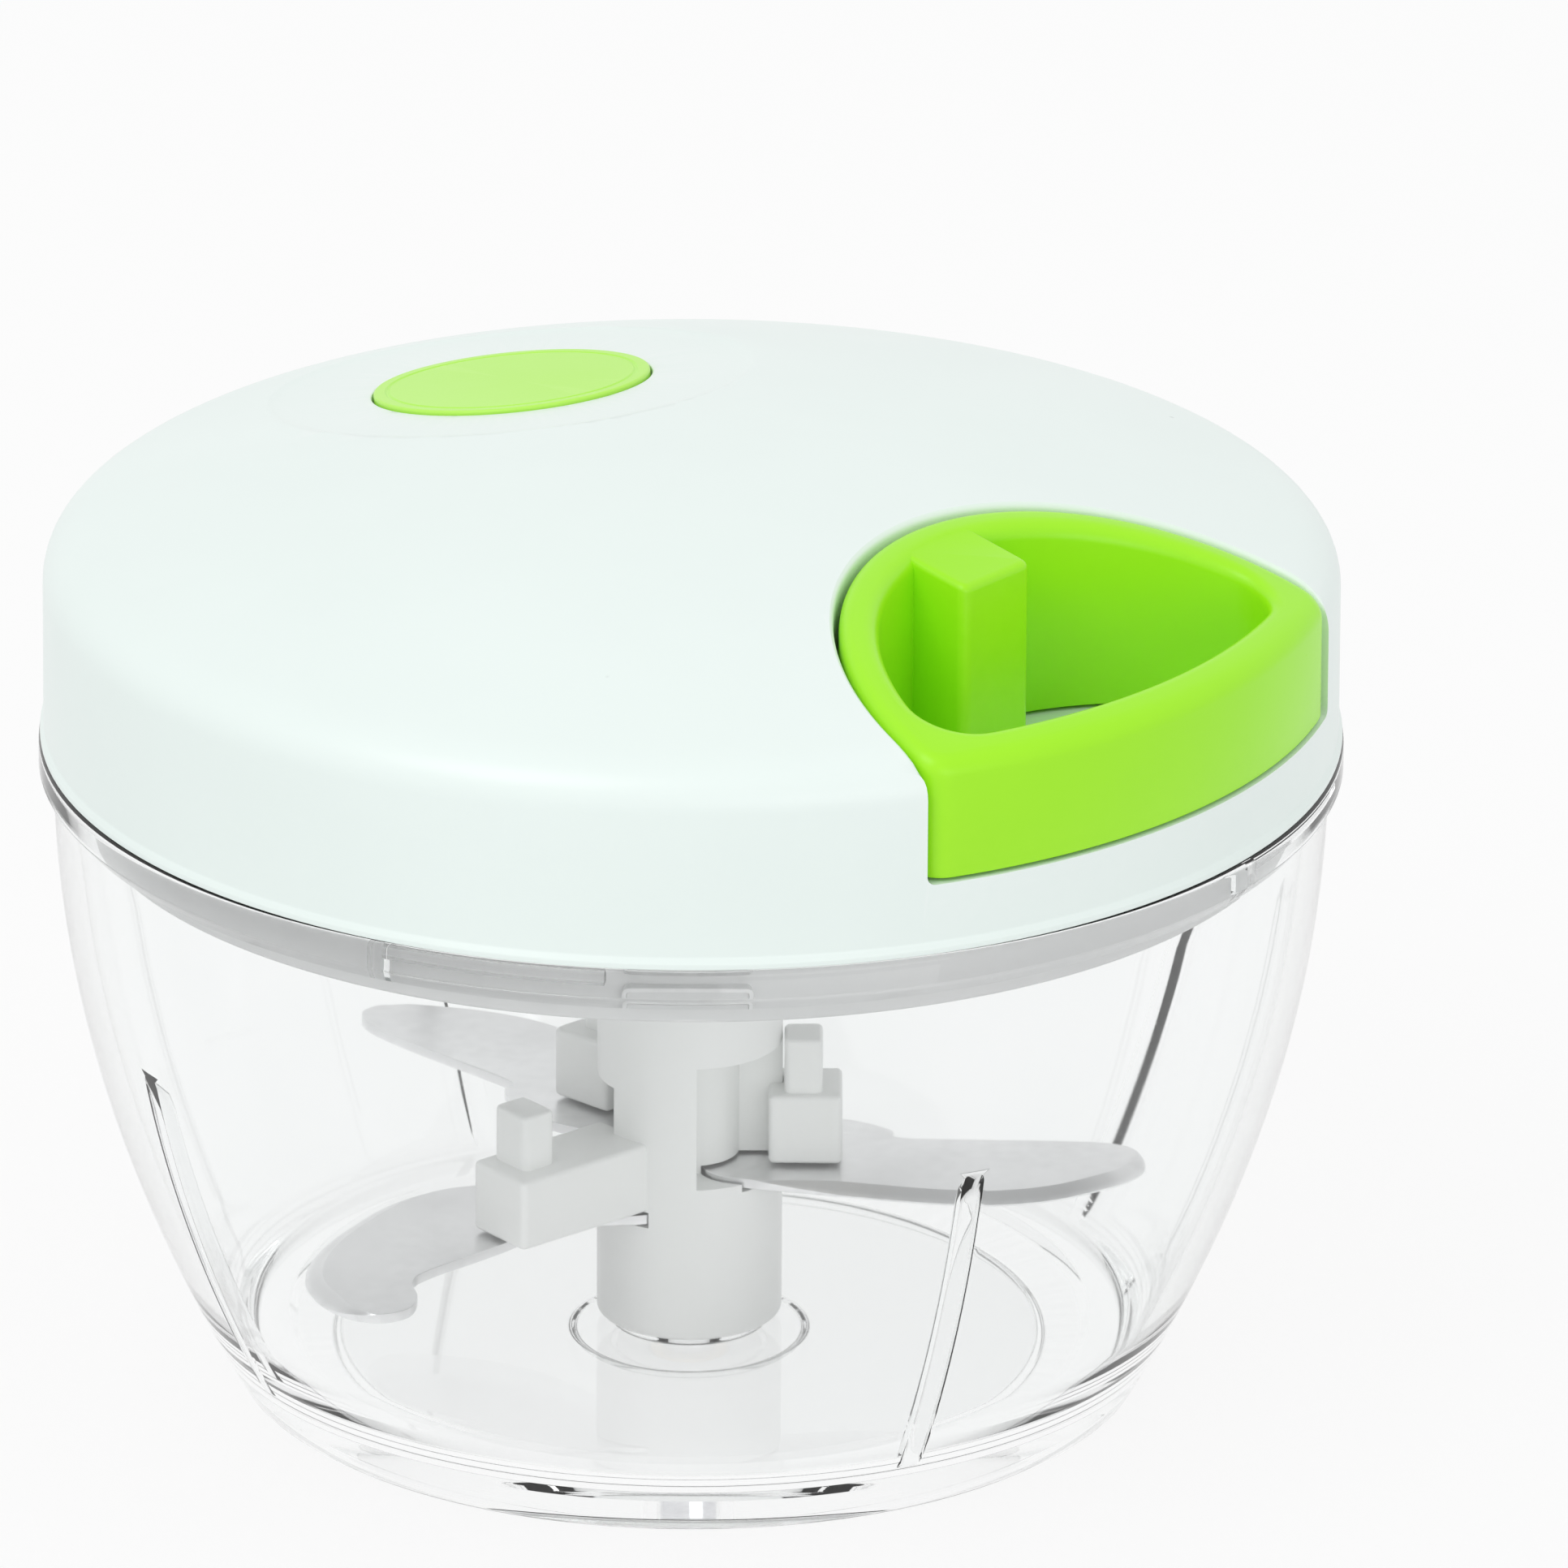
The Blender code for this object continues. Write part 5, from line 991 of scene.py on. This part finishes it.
def badge_place():
    """Where the badge's dish lies on the dome, as a matrix whose Z axis leaves the dome."""
    x = BADGE_DISTANCE * math.cos(BADGE_AZIMUTH)
    y = BADGE_DISTANCE * math.sin(BADGE_AZIMUTH)
    lean = Vector((x / DOME_RADIUS, y / DOME_RADIUS, 1)).normalized()
    turn = Vector((0, 0, 1)).rotation_difference(lean).to_matrix().to_4x4()
    return Matrix.Translation((x, y, dome_height(BADGE_DISTANCE))) @ turn


def make_cover():
    """The lid's white shell: dome, pocket, dish, and the bosses inside.

    A low bead runs round its lower edge, and what stands inside it stays half a millimetre below its face.
    """
    profile = OUTER_SIDE + [(COVER_RADIUS, 76.0), (COVER_RADIUS, 66.2, 0.4)]
    profile += [(BEAD_RADIUS, 65.6, 0.3), (BEAD_RADIUS, COVER_BOTTOM, 0.15)]
    profile += [(COVER_INNER, COVER_BOTTOM, 0.3), (COVER_INNER, 76.0)] + dome_side(COVER_INNER, 2.0)[::-1]
    cover = turned(profile, FINE_STEPS)
    limit = dome_side(61.5, 0.5) + [(61.5, 65.0), (0, 65.0)]
    walls = to_handle(slab(pocket_circle(POCKET_RADIUS + 2), POCKET_UNDERSIDE, 95))
    posts = round_axis(upright(3.6, 62.3, 95, (SCREW_CIRCLE, 0)), 4)
    walls, posts = (boolean(shape, "INTERSECT", turned(limit, FINE_STEPS)) for shape in (walls, posts))
    boss = upright(7.5, 84.3, 94.5)
    pad = moved(upright(DISH_RADIUS + 2, DISH_FLOOR - 2.4, -2.04, steps=ROUND_STEPS), badge_place())
    cover = joined(cover, walls, posts, boss, pad)
    brim = [(22.4, -1.775), (22.8, -1.74), (23.2, -1.67), (23.6, -1.56), (24.2, -1.38), (26.0, -0.9)]
    profile = [(radius, DISH_FLOOR) for radius in (0, 14.5, 21.8)] + brim + [(26.0, 12), (0, 12)]
    dish = moved(turned(profile, FINE_STEPS), badge_place())
    brim = [(0, -1.15), (13.6, -1.15), (13.6, -0.18), (13.64, -0.08), (13.76, 0.0), (14.1, 0.15)]
    profile = [(radius, DISH_FLOOR + height) for radius, height in brim] + [(14.1, 12), (0, 12)]
    seat = moved(turned(profile, ROUND_STEPS), badge_place())
    opening = to_handle(pocket_cutter())
    holes = round_axis(upright(SCREW_HOLE, 61.3, 69.2, (SCREW_CIRCLE, 0), SCREW_STEPS), 4)
    axle = upright(3.3, 83.3, 89.6)
    eyelet = to_handle(along_cord(upright(4.3, EYELET_START, POCKET_CENTRE)))
    cover = less(cover, dish, seat, opening, holes, axle, eyelet)
    piece("lid_cover", cover, "white_plastic", "lid", "top_cover", smooth=30)


def make_badge():
    """A bare disc with a rounded edge and a fine turned line near it."""
    high = DISH_FLOOR + 0.4
    line = high - 0.12
    profile = [(0, DISH_FLOOR - 0.8), (BADGE_RADIUS, DISH_FLOOR - 0.8, 0.2), (BADGE_RADIUS, high, 0.3)]
    profile += [(12.3, high, 0.1), (12.15, line, 0.05), (11.95, line, 0.05), (11.8, high, 0.1)]
    profile += [(6.0, high + 0.04), (0, high + 0.06)]
    disc = moved(turned(profile, FINE_STEPS), badge_place())
    piece("badge_disc", disc, "pale_green_plastic", "lid", "badge")


def screw(radius, head_low, head_high, tip, distance):
    """A pan-head screw, head down, with a cross recess and a thread."""
    head, root = radius * 2, radius * 0.75
    pan = ((0, 0), (0.55, 0.04), (0.85, 0.18), (1, 0.55))
    profile = [(head * part, head_low + lift) for part, lift in pan]
    profile += [(head, head_high, 0.1), (root, head_high)]
    height = head_high + 0.4
    while height < tip - radius - 0.5:
        profile += [(root, height), (radius, height + 0.2), (radius, height + 0.26), (root, height + 0.46)]
        height += 0.66
    profile += [(radius * 0.8, tip - radius), (0.15, tip), (0, tip)]
    made = turned(profile, SCREW_STEPS)
    for turn in (0, math.pi / 2):
        cross = bar((-head * 0.6, -0.22, head_low - 0.5), (head * 0.6, 0.22, head_low + 0.55))
        made = less(made, to_azimuth(cross, turn))
    return moved(made, Matrix.Translation((distance, 0, 0)))


def make_lid_fittings():
    screws = round_axis(screw(1.3, 58.7, 59.7, 68.9, SCREW_CIRCLE), 4)
    names = [f"cover_screw_{n + 1}" for n in range(4)]
    piece("cover_screws", screws, "polished_steel", "lid", *names)
    profile = [(8.1, 57.6, 0.3), (9.6, 57.6, 0.2), (9.6, 62.3)]
    profile += [(12.0, 62.3, 0.15), (12.0, 63.3, 0.2), (8.1, 63.3, 0.3)]
    piece("bearing_bush", turned(profile), "brass", "lid", "base_bush")
    axle = tube(0, 3.0, 60.6, 89.3, (0, 0.5, 0.3, 0))
    piece("reel_axle", axle, "polished_steel", "lid", "axle_pin")
    washer = tube(3.3, 6.5, 69.6, 70.1, (0.1, 0.1, 0.1, 0.1))
    piece("reel_washer", washer, "brass", "lid", "thrust_washer")
    sleeve = tube(3.3, 5.0, 70.4, 84.0, (0.2, 0.3, 0.3, 0.2))
    slit = bar((3.5, -0.6, 70.4), (6.0, 0.6, 80.2))
    piece("spring_sleeve", less(sleeve, slit), "grey_plastic", "lid", "spring_arbor")
    profile = [(3.2, EYELET_START, 0.3), (5.2, EYELET_START, 0.2), (5.2, 24.7, 0.15), (4.0, 24.7)]
    profile += [(4.0, EYELET_END, 0.15), (1.3, EYELET_END, 0.3), (1.3, 25.9), (1.55, 25.3), (2.1, 24.6)]
    eyelet = to_handle(along_cord(turned(profile, SMALL_STEPS)))
    piece("eyelet_bush", eyelet, "polished_steel", "lid", "cord_eyelet")


# Reel

def on_screw_circle(shape):
    """A shape of the coupler's screws, three times round the reel."""
    return round_axis(shape, 3, math.radians(60))


def make_reel():
    profile = [(3.1, 67.3, 0.2), (REEL_RADIUS, 67.3, 0.4), (REEL_RADIUS, 68.8, 0.4)]
    profile += [(DRUM_RADIUS, 68.8, 0.6), (DRUM_RADIUS, 80.2, 0.6)]
    profile += [(REEL_RADIUS, 80.2, 0.4), (REEL_RADIUS, 81.7, 0.4), (14.3, 81.7, 0.2), (14.3, 80.2, 0.15)]
    profile += [(CHAMBER_RADIUS, 80.2, 0.2), (CHAMBER_RADIUS, 69.3, 0.4), (3.1, 69.3, 0.2)]
    windows = round_axis(upright(1.6, 66.5, 69.6, (18.3, 0), SCREW_STEPS), 12, 0.0)
    slit = bar((12.2, -0.6, 70.4), (14.7, 0.6, 80.5))
    holes = on_screw_circle(upright(COUPLER_HOLE, 66.3, 69.0, (COUPLER_SCREWS, 0), SCREW_STEPS))
    piece("reel_drum", less(turned(profile), windows, slit, holes), "white_plastic", "reel", "cord_reel")
    cap = tube(5.6, 14.0, 80.5, 81.7, (0.2, 0.2, 0.3, 0.3), ROUND_STEPS)
    piece("reel_cap", cap, "grey_plastic", "reel", "spring_cap")

    half, top = SPRING_THICK / 2, SPRING_LOW + SPRING_WIDTH
    sizes = {"Thickness": SPRING_THICK, "Strip_Width": SPRING_WIDTH, "Low": SPRING_LOW + SPRING_WIDTH / 2}
    sizes |= {"Turns": 5.0, "Start_Radius": 5.6, "End_Radius": 12.6, "Rise": 0.0, "Start_Angle": 0.0}
    strip = spiral("Flat Spring", **sizes)
    ends = (5.1, 5.8), (12.4, 14.4)
    hook, tail = (bar((start, -half, SPRING_LOW), (end, half, top)) for start, end in ends)
    piece("coil_spring", together(strip, hook, tail), "spring_steel", "reel", "recoil_spring")

    profile = [(0, 57.2), (8.0, 57.2, 0.5), (8.0, 63.6, 0.2), (9.2, 63.6, 0.15), (9.2, 65.5, 0.3)]
    profile += [(13.2, 65.5, 0.2), (13.2, 67.0, 0.2), (3.1, 67.0, 0.2), (3.1, 60.3), (0, 60.3)]
    core = upright(3.6, 50.8, 58.2, edge=0.3)
    dogs = bar((-6.2, -2.0, 50.8), (6.2, 2.0, 58.2), 0.6, 0.3)
    holes = on_screw_circle(upright(COUPLER_HOLE, 64.5, 68.0, (COUPLER_SCREWS, 0), SCREW_STEPS))
    coupler = less(joined(turned(profile), core, dogs), holes)
    piece("coupler_shaft", coupler, "grey_plastic", "reel", "drive_coupler")
    screws = on_screw_circle(screw(0.8, 64.2, 65.2, 68.7, COUPLER_SCREWS))
    names = [f"coupler_screw_{n + 1}" for n in range(3)]
    piece("coupler_screws", screws, "polished_steel", "reel", *names)


# Cord

def cord_along(points, radius):
    """A cord through the points, which are given with the handle at azimuth 0."""
    turn = Matrix.Rotation(HANDLE_AZIMUTH, 4, "Z")
    curve = bpy.data.curves.new("path", "CURVE")
    curve.dimensions = "3D"
    spline = curve.splines.new("POLY")
    spline.points.add(len(points) - 1)
    for point, place in zip(spline.points, points):
        point.co = (*(turn @ place), 1.0)
    return grown_by_nodes(placed("path", curve), "Laid Cord", Cord_Radius=radius)


def make_cord():
    """The winding on the drum, and the run from the drum through the eyelet to the knot.

    The run has its last ring in the eyelet and its next ring in the handle, with none between them.
    """
    leave = math.acos(WINDING_RADIUS / EYELET_BEND)
    rise = CORD_TURNS * CORD_PITCH
    sizes = {"Turns": CORD_TURNS, "Start_Radius": WINDING_RADIUS, "End_Radius": WINDING_RADIUS}
    sizes |= {"Rise": rise, "Low": CORD_LEVEL - rise, "Cord_Radius": CORD_RADIUS}
    winding = spiral("Wound Cord", Start_Angle=HANDLE_AZIMUTH + leave - TURN * CORD_TURNS, **sizes)
    piece("wound_cord", winding, "cord", "reel", "cord_winding")

    stretch_ends = EYELET_END - 0.2, HANDLE_INNER_END + 0.2
    start = Vector((WINDING_RADIUS * math.cos(leave), WINDING_RADIUS * math.sin(leave), CORD_LEVEL))
    bend = Vector((EYELET_BEND, 0, CORD_LEVEL))
    bend_in = bend + (start - bend).normalized() * 3.0
    bend_out = bend + Vector((1.5, 0, 0))
    route = [start.lerp(bend_in, k / 6) for k in range(7)]
    route += [curve_point(bend_in, bend, bend_out, k / 8) for k in range(1, 9)]
    straight = (*stretch_ends, 29.0, 30.5, CELL_CENTRE - 2.0)
    route += [Vector((distance, 0, CORD_LEVEL)) for distance in straight]
    made = piece("pull_cord", cord_along(route, CORD_RADIUS), "cord", None, "cord_feed", "cord_lead")
    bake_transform(made)

    loops = []
    count, size, depth = 60, 0.42, 0.6
    for k in range(count + 1):
        t = TURN * k / count
        across = (math.sin(t) + 2 * math.sin(2 * t)) * size
        up = (math.cos(t) - 2 * math.cos(2 * t)) * size
        loops.append(Vector((CELL_CENTRE - 0.2 - depth * math.sin(3 * t), across, CORD_LEVEL + up)))
    piece("cord_end_knot", cord_along(loops, 0.75), "cord", "handle", "cord_knot")


# Pull handle

def lens(side_radius, outer_radius, corner):
    """The handle's outline: a circle round the pocket's centre, cut off by one round the lid's axis."""
    side, outer = side_radius - corner, outer_radius - corner
    across = (outer**2 - side**2 + POCKET_CENTRE**2) / (2 * POCKET_CENTRE)
    along = math.sqrt(outer**2 - across**2)
    out_angle = math.atan2(along, across)
    side_angle = math.atan2(along, across - POCKET_CENTRE)
    points = arc(outer_radius, -out_angle, out_angle, 56)
    points += arc(corner, out_angle, side_angle, 14, (across, along))[1:]
    points += arc(side_radius, side_angle, TURN - side_angle, 110, (POCKET_CENTRE, 0))[1:]
    points += arc(corner, TURN - side_angle, TURN - out_angle, 14, (across, -along))[1:-1]
    return points


def under_dome(outline, drop):
    return [(x, y, dome_height(math.hypot(x, y), drop)) for x, y in outline]


def handle_ring():
    """The ring. Its top follows the dome, its edges are well rounded, and its foot is a little softened."""
    steps, foot = 7, ((0.35, 0.0), (0.1, 0.1), (0.0, 0.35))
    outside = lens(HANDLE_SIDE, HANDLE_OUTER, HANDLE_CORNER)
    inside = lens(HOLE_SIDE, HOLE_OUTER, HOLE_CORNER)
    loops = [level(grown(outside, -inset), HANDLE_BOTTOM + lift) for inset, lift in foot]
    loops.append(under_dome(outside, HANDLE_ROUND + 0.25))
    for inset, drop in over_edge(HANDLE_ROUND, steps):
        loops.append(under_dome(lens(HANDLE_SIDE - inset, HANDLE_OUTER - inset, HANDLE_CORNER - inset), drop))
    for inset, drop in over_edge(HANDLE_ROUND, steps)[::-1]:
        loops.append(under_dome(lens(HOLE_SIDE + inset, HOLE_OUTER + inset, HOLE_CORNER + inset), drop))
    loops.append(under_dome(inside, HANDLE_ROUND + 0.25))
    loops += [level(grown(inside, inset), HANDLE_BOTTOM + lift) for inset, lift in foot[::-1]]
    return stacked(loops, ends=False)


def handle_block():
    """The block in the ring that holds the cord. Its top slopes as the dome does."""
    half = BLOCK_WIDTH / 2
    top = dome_height(BLOCK_START, BLOCK_DROP)
    slope = (dome_height(BLOCK_END, BLOCK_DROP) - top) / (BLOCK_END - BLOCK_START)
    corners = [(BLOCK_START, -half), (BLOCK_END, -half, 1.0), (BLOCK_END, half, 1.0), (BLOCK_START, half)]
    block = slab(rounded(corners), HANDLE_BOTTOM, top, 0.0, 0.7)
    for vert in block.verts:
        if vert.co.z > CORD_LEVEL:
            vert.co.z += slope * (vert.co.x - BLOCK_START)
    return block


def make_handle():
    cell = upright(CELL_RADIUS, HANDLE_BOTTOM - 1, CORD_LEVEL + CELL_RADIUS, (CELL_CENTRE, 0))
    bore = along_cord(upright(CORD_RADIUS + 0.3, 26.5, CELL_CENTRE, steps=SCREW_STEPS))
    handle = to_handle(less(joined(handle_ring(), handle_block()), cell, bore))
    piece("finger_ring", handle, "green_plastic", "handle", "pull_handle", smooth=30)
    plug = to_handle(upright(2.6, HANDLE_BOTTOM, HANDLE_BOTTOM + 1.5, (CELL_CENTRE, 0), edge=0.2))
    piece("knot_plug", plug, "green_plastic", "handle", "handle_plug")


# Rotor

def through(points, steps):
    """A closed smooth outline through the points."""
    found = []
    count = len(points)
    for k in range(count):
        before, first, second, after = (Vector(points[(k + n - 1) % count]) for n in range(4))
        tangent_first, tangent_second = (second - before) / 2, (after - first) / 2
        for step in range(steps):
            t = step / steps
            a, b = 2 * t**3 - 3 * t**2 + 1, t**3 - 2 * t**2 + t
            c, d = 3 * t**2 - 2 * t**3, t**3 - t**2
            found.append(tuple(a * first + b * tangent_first + c * second + d * tangent_second))
    return found


def blade(spine, edge, root, height):
    """A flat blade with a hollow ground edge and softened spine."""
    steps, softened, edge_rise = 8, 0.09, 0.2
    outline = through(spine + edge + root, steps)
    first, last = steps * (len(spine) - 1), steps * (len(spine) + len(edge))
    ease_over = 4 * steps / 3
    from_ends = [(k - first, last - k) for k in range(len(outline))]
    ground = [max(0.0, min(1.0, near / ease_over, far / ease_over)) for near, far in from_ends]
    loops = []
    for inset, lift in ((softened, 0.0), (0.0, softened)):
        loops.append(level(turned_in(outline, [inset] * len(outline)), height + lift))
    for bevel_share, lift in ((0.0, 0.0), (0.33, 0.3), (0.66, 0.62), (1.0, 1.0)):
        least = softened if bevel_share == 1.0 else 0.0
        points = turned_in(outline, [max(least, share * BLADE_BEVEL * bevel_share) for share in ground])
        loop = []
        for (x, y), share in zip(points, ground):
            low = height + edge_rise * share + (BLADE_THICK - softened) * (1 - share)
            loop.append((x, y, low + (height + BLADE_THICK - low) * lift))
        loops.append(loop)
    return stacked(loops)


def blade_slot(spine, edge, root, height):
    """The space that a blade takes in the hub, with its clearance all round."""
    outline = through(spine + edge + root, 4)
    outline = turned_in(outline, [-SEAT_GAP] * len(outline))
    return stacked([level(outline, z) for z in (height - SEAT_GAP, height + BLADE_THICK + SEAT_GAP)])


def hub_notch(height):
    """The open quarter of the hub above a blade's root, down to the hub's core."""
    side, far = 0.7, 18
    edge = math.asin(side / HUB_CORE)
    outline = arc(HUB_CORE, -math.pi / 2 + edge, -edge, 16)
    outline += [(far, -side), (far, -far), (side, -far)]
    return stacked([level(outline, height + 0.5), level(outline, height + 13.0)])


def make_rotor():
    """The white column with its notches and arms, the blades in their slots, and its bushes."""
    profile = [(4.0, HUB_BOTTOM, 0.3), (HUB_RADIUS, HUB_BOTTOM, 0.6), (HUB_RADIUS, HUB_TOP, 0.35)]
    profile += [(7.9, HUB_TOP, 0.25), (7.9, 49.0), (0, 49.0), (0, 15.6), (4.0, 15.6)]
    hub = turned(profile)
    for _, _, height, azimuth, reach in BLADES:
        low = height + BLADE_THICK + SEAT_GAP
        arm = bar((7.6, -4.2, low), (reach, 3.5, low + 7.0), 0.7, 0.5)
        post = bar((reach - 5.6, -3.4, low + 1.0), (reach - 1.9, 1.4, low + 12.5), 0.8, 0.45)
        hub = less(hub, to_azimuth(hub_notch(height), azimuth))
        hub = joined(hub, to_azimuth(arm, azimuth), to_azimuth(post, azimuth))
    for name, outline, height, azimuth, _ in BLADES:
        hub = less(hub, to_azimuth(blade_slot(*outline, height), azimuth))
        made = to_azimuth(blade(*outline, height), azimuth)
        piece(f"steel_{name}", made, "blade_steel", "rotor", name, smooth=20)
    piece("rotor_column", hub, "white_plastic", "rotor", "blade_hub", finish="rotor_white")
    bush = tube(2.6, 3.7, HUB_BOTTOM, 15.3, (0.2, 0.2, 0.2, 0.2))
    piece("column_bush", bush, "brass", "rotor", "hub_bush")
    profile = [(0, 49.3), (7.6, 49.3, 0.2), (7.6, HUB_TOP, 0.2), (6.6, HUB_TOP, 0.25)]
    profile += [(6.6, 50.3, 0.3), (0, 50.3)]
    rib = bar((-1.5, 4.3, 49.8), (1.5, 7.1, 55.6), 0.5, 0.3)
    socket = together(turned(profile), round_axis(rib, 2, 0.0))
    piece("drive_cup", socket, "grey_plastic", "rotor", "drive_socket")


# Stage

def area_lamp(name, place, size, power):
    data = bpy.data.lights.new(name, "AREA")
    data.shape = "DISK"
    data.size = size
    data.energy = power
    way = Vector((0, 0, 0.05)) - Vector(place)
    placed(name, data).matrix_world = Matrix.Translation(place) @ facing(way)


def seen_directly(tree):
    """1 for rays from the camera, and for those that come from gloss or through clear plastic."""
    path = add(tree, "ShaderNodeLightPath")
    both = maths(tree, "MAXIMUM", path["Is Camera Ray"], path["Is Glossy Ray"])
    return maths(tree, "MAXIMUM", both, path["Is Transmission Ray"])


def make_stage():
    """A pale floor that keeps a soft shadow, a white surround, and soft lamps."""
    white = (1.0, 1.0, 1.0)
    world = bpy.data.worlds.new("surround")
    bpy.context.scene.world = world
    world.use_nodes = True
    tree = world.node_tree
    background = tree.nodes["Background"].inputs
    feed(background["Strength"], ranged(tree, seen_directly(tree), 0.0, 1.0, 0.83, 1.0))
    feed(background["Color"], white)

    shape = bmesh.new()
    bmesh.ops.create_circle(shape, cap_ends=True, segments=96, radius=14.0)
    floor = placed("floor", as_mesh(shape))
    made, tree, shader, place = new_finish("pale floor", Roughness=0.6)
    grain = noise(tree, place, 90.0, 3.0)
    feed(shader.inputs["Base Color"], mixed(tree, grain, (0.78, 0.78, 0.78), (0.81, 0.81, 0.81)))
    glow = add(tree, "ShaderNodeEmission", {"Color": white, "Strength": 1.0})[0]
    output(tree, times(tree, seen_directly(tree), 0.88), shader.outputs[0], glow)
    floor.data.materials.append(made)

    area_lamp("key_lamp", (-0.5, -0.6, 1.0), 0.7, 2.9)
    area_lamp("fill_lamp", (0.5, -1.1, 0.18), 0.9, 1.9)
    bpy.context.scene.view_settings.view_transform = "Standard"


set_camera()
make_cord()
make_bowl()
make_seal()
make_tray()
make_cover()
make_badge()
make_lid_fittings()
make_reel()
make_handle()
make_rotor()
make_stage()
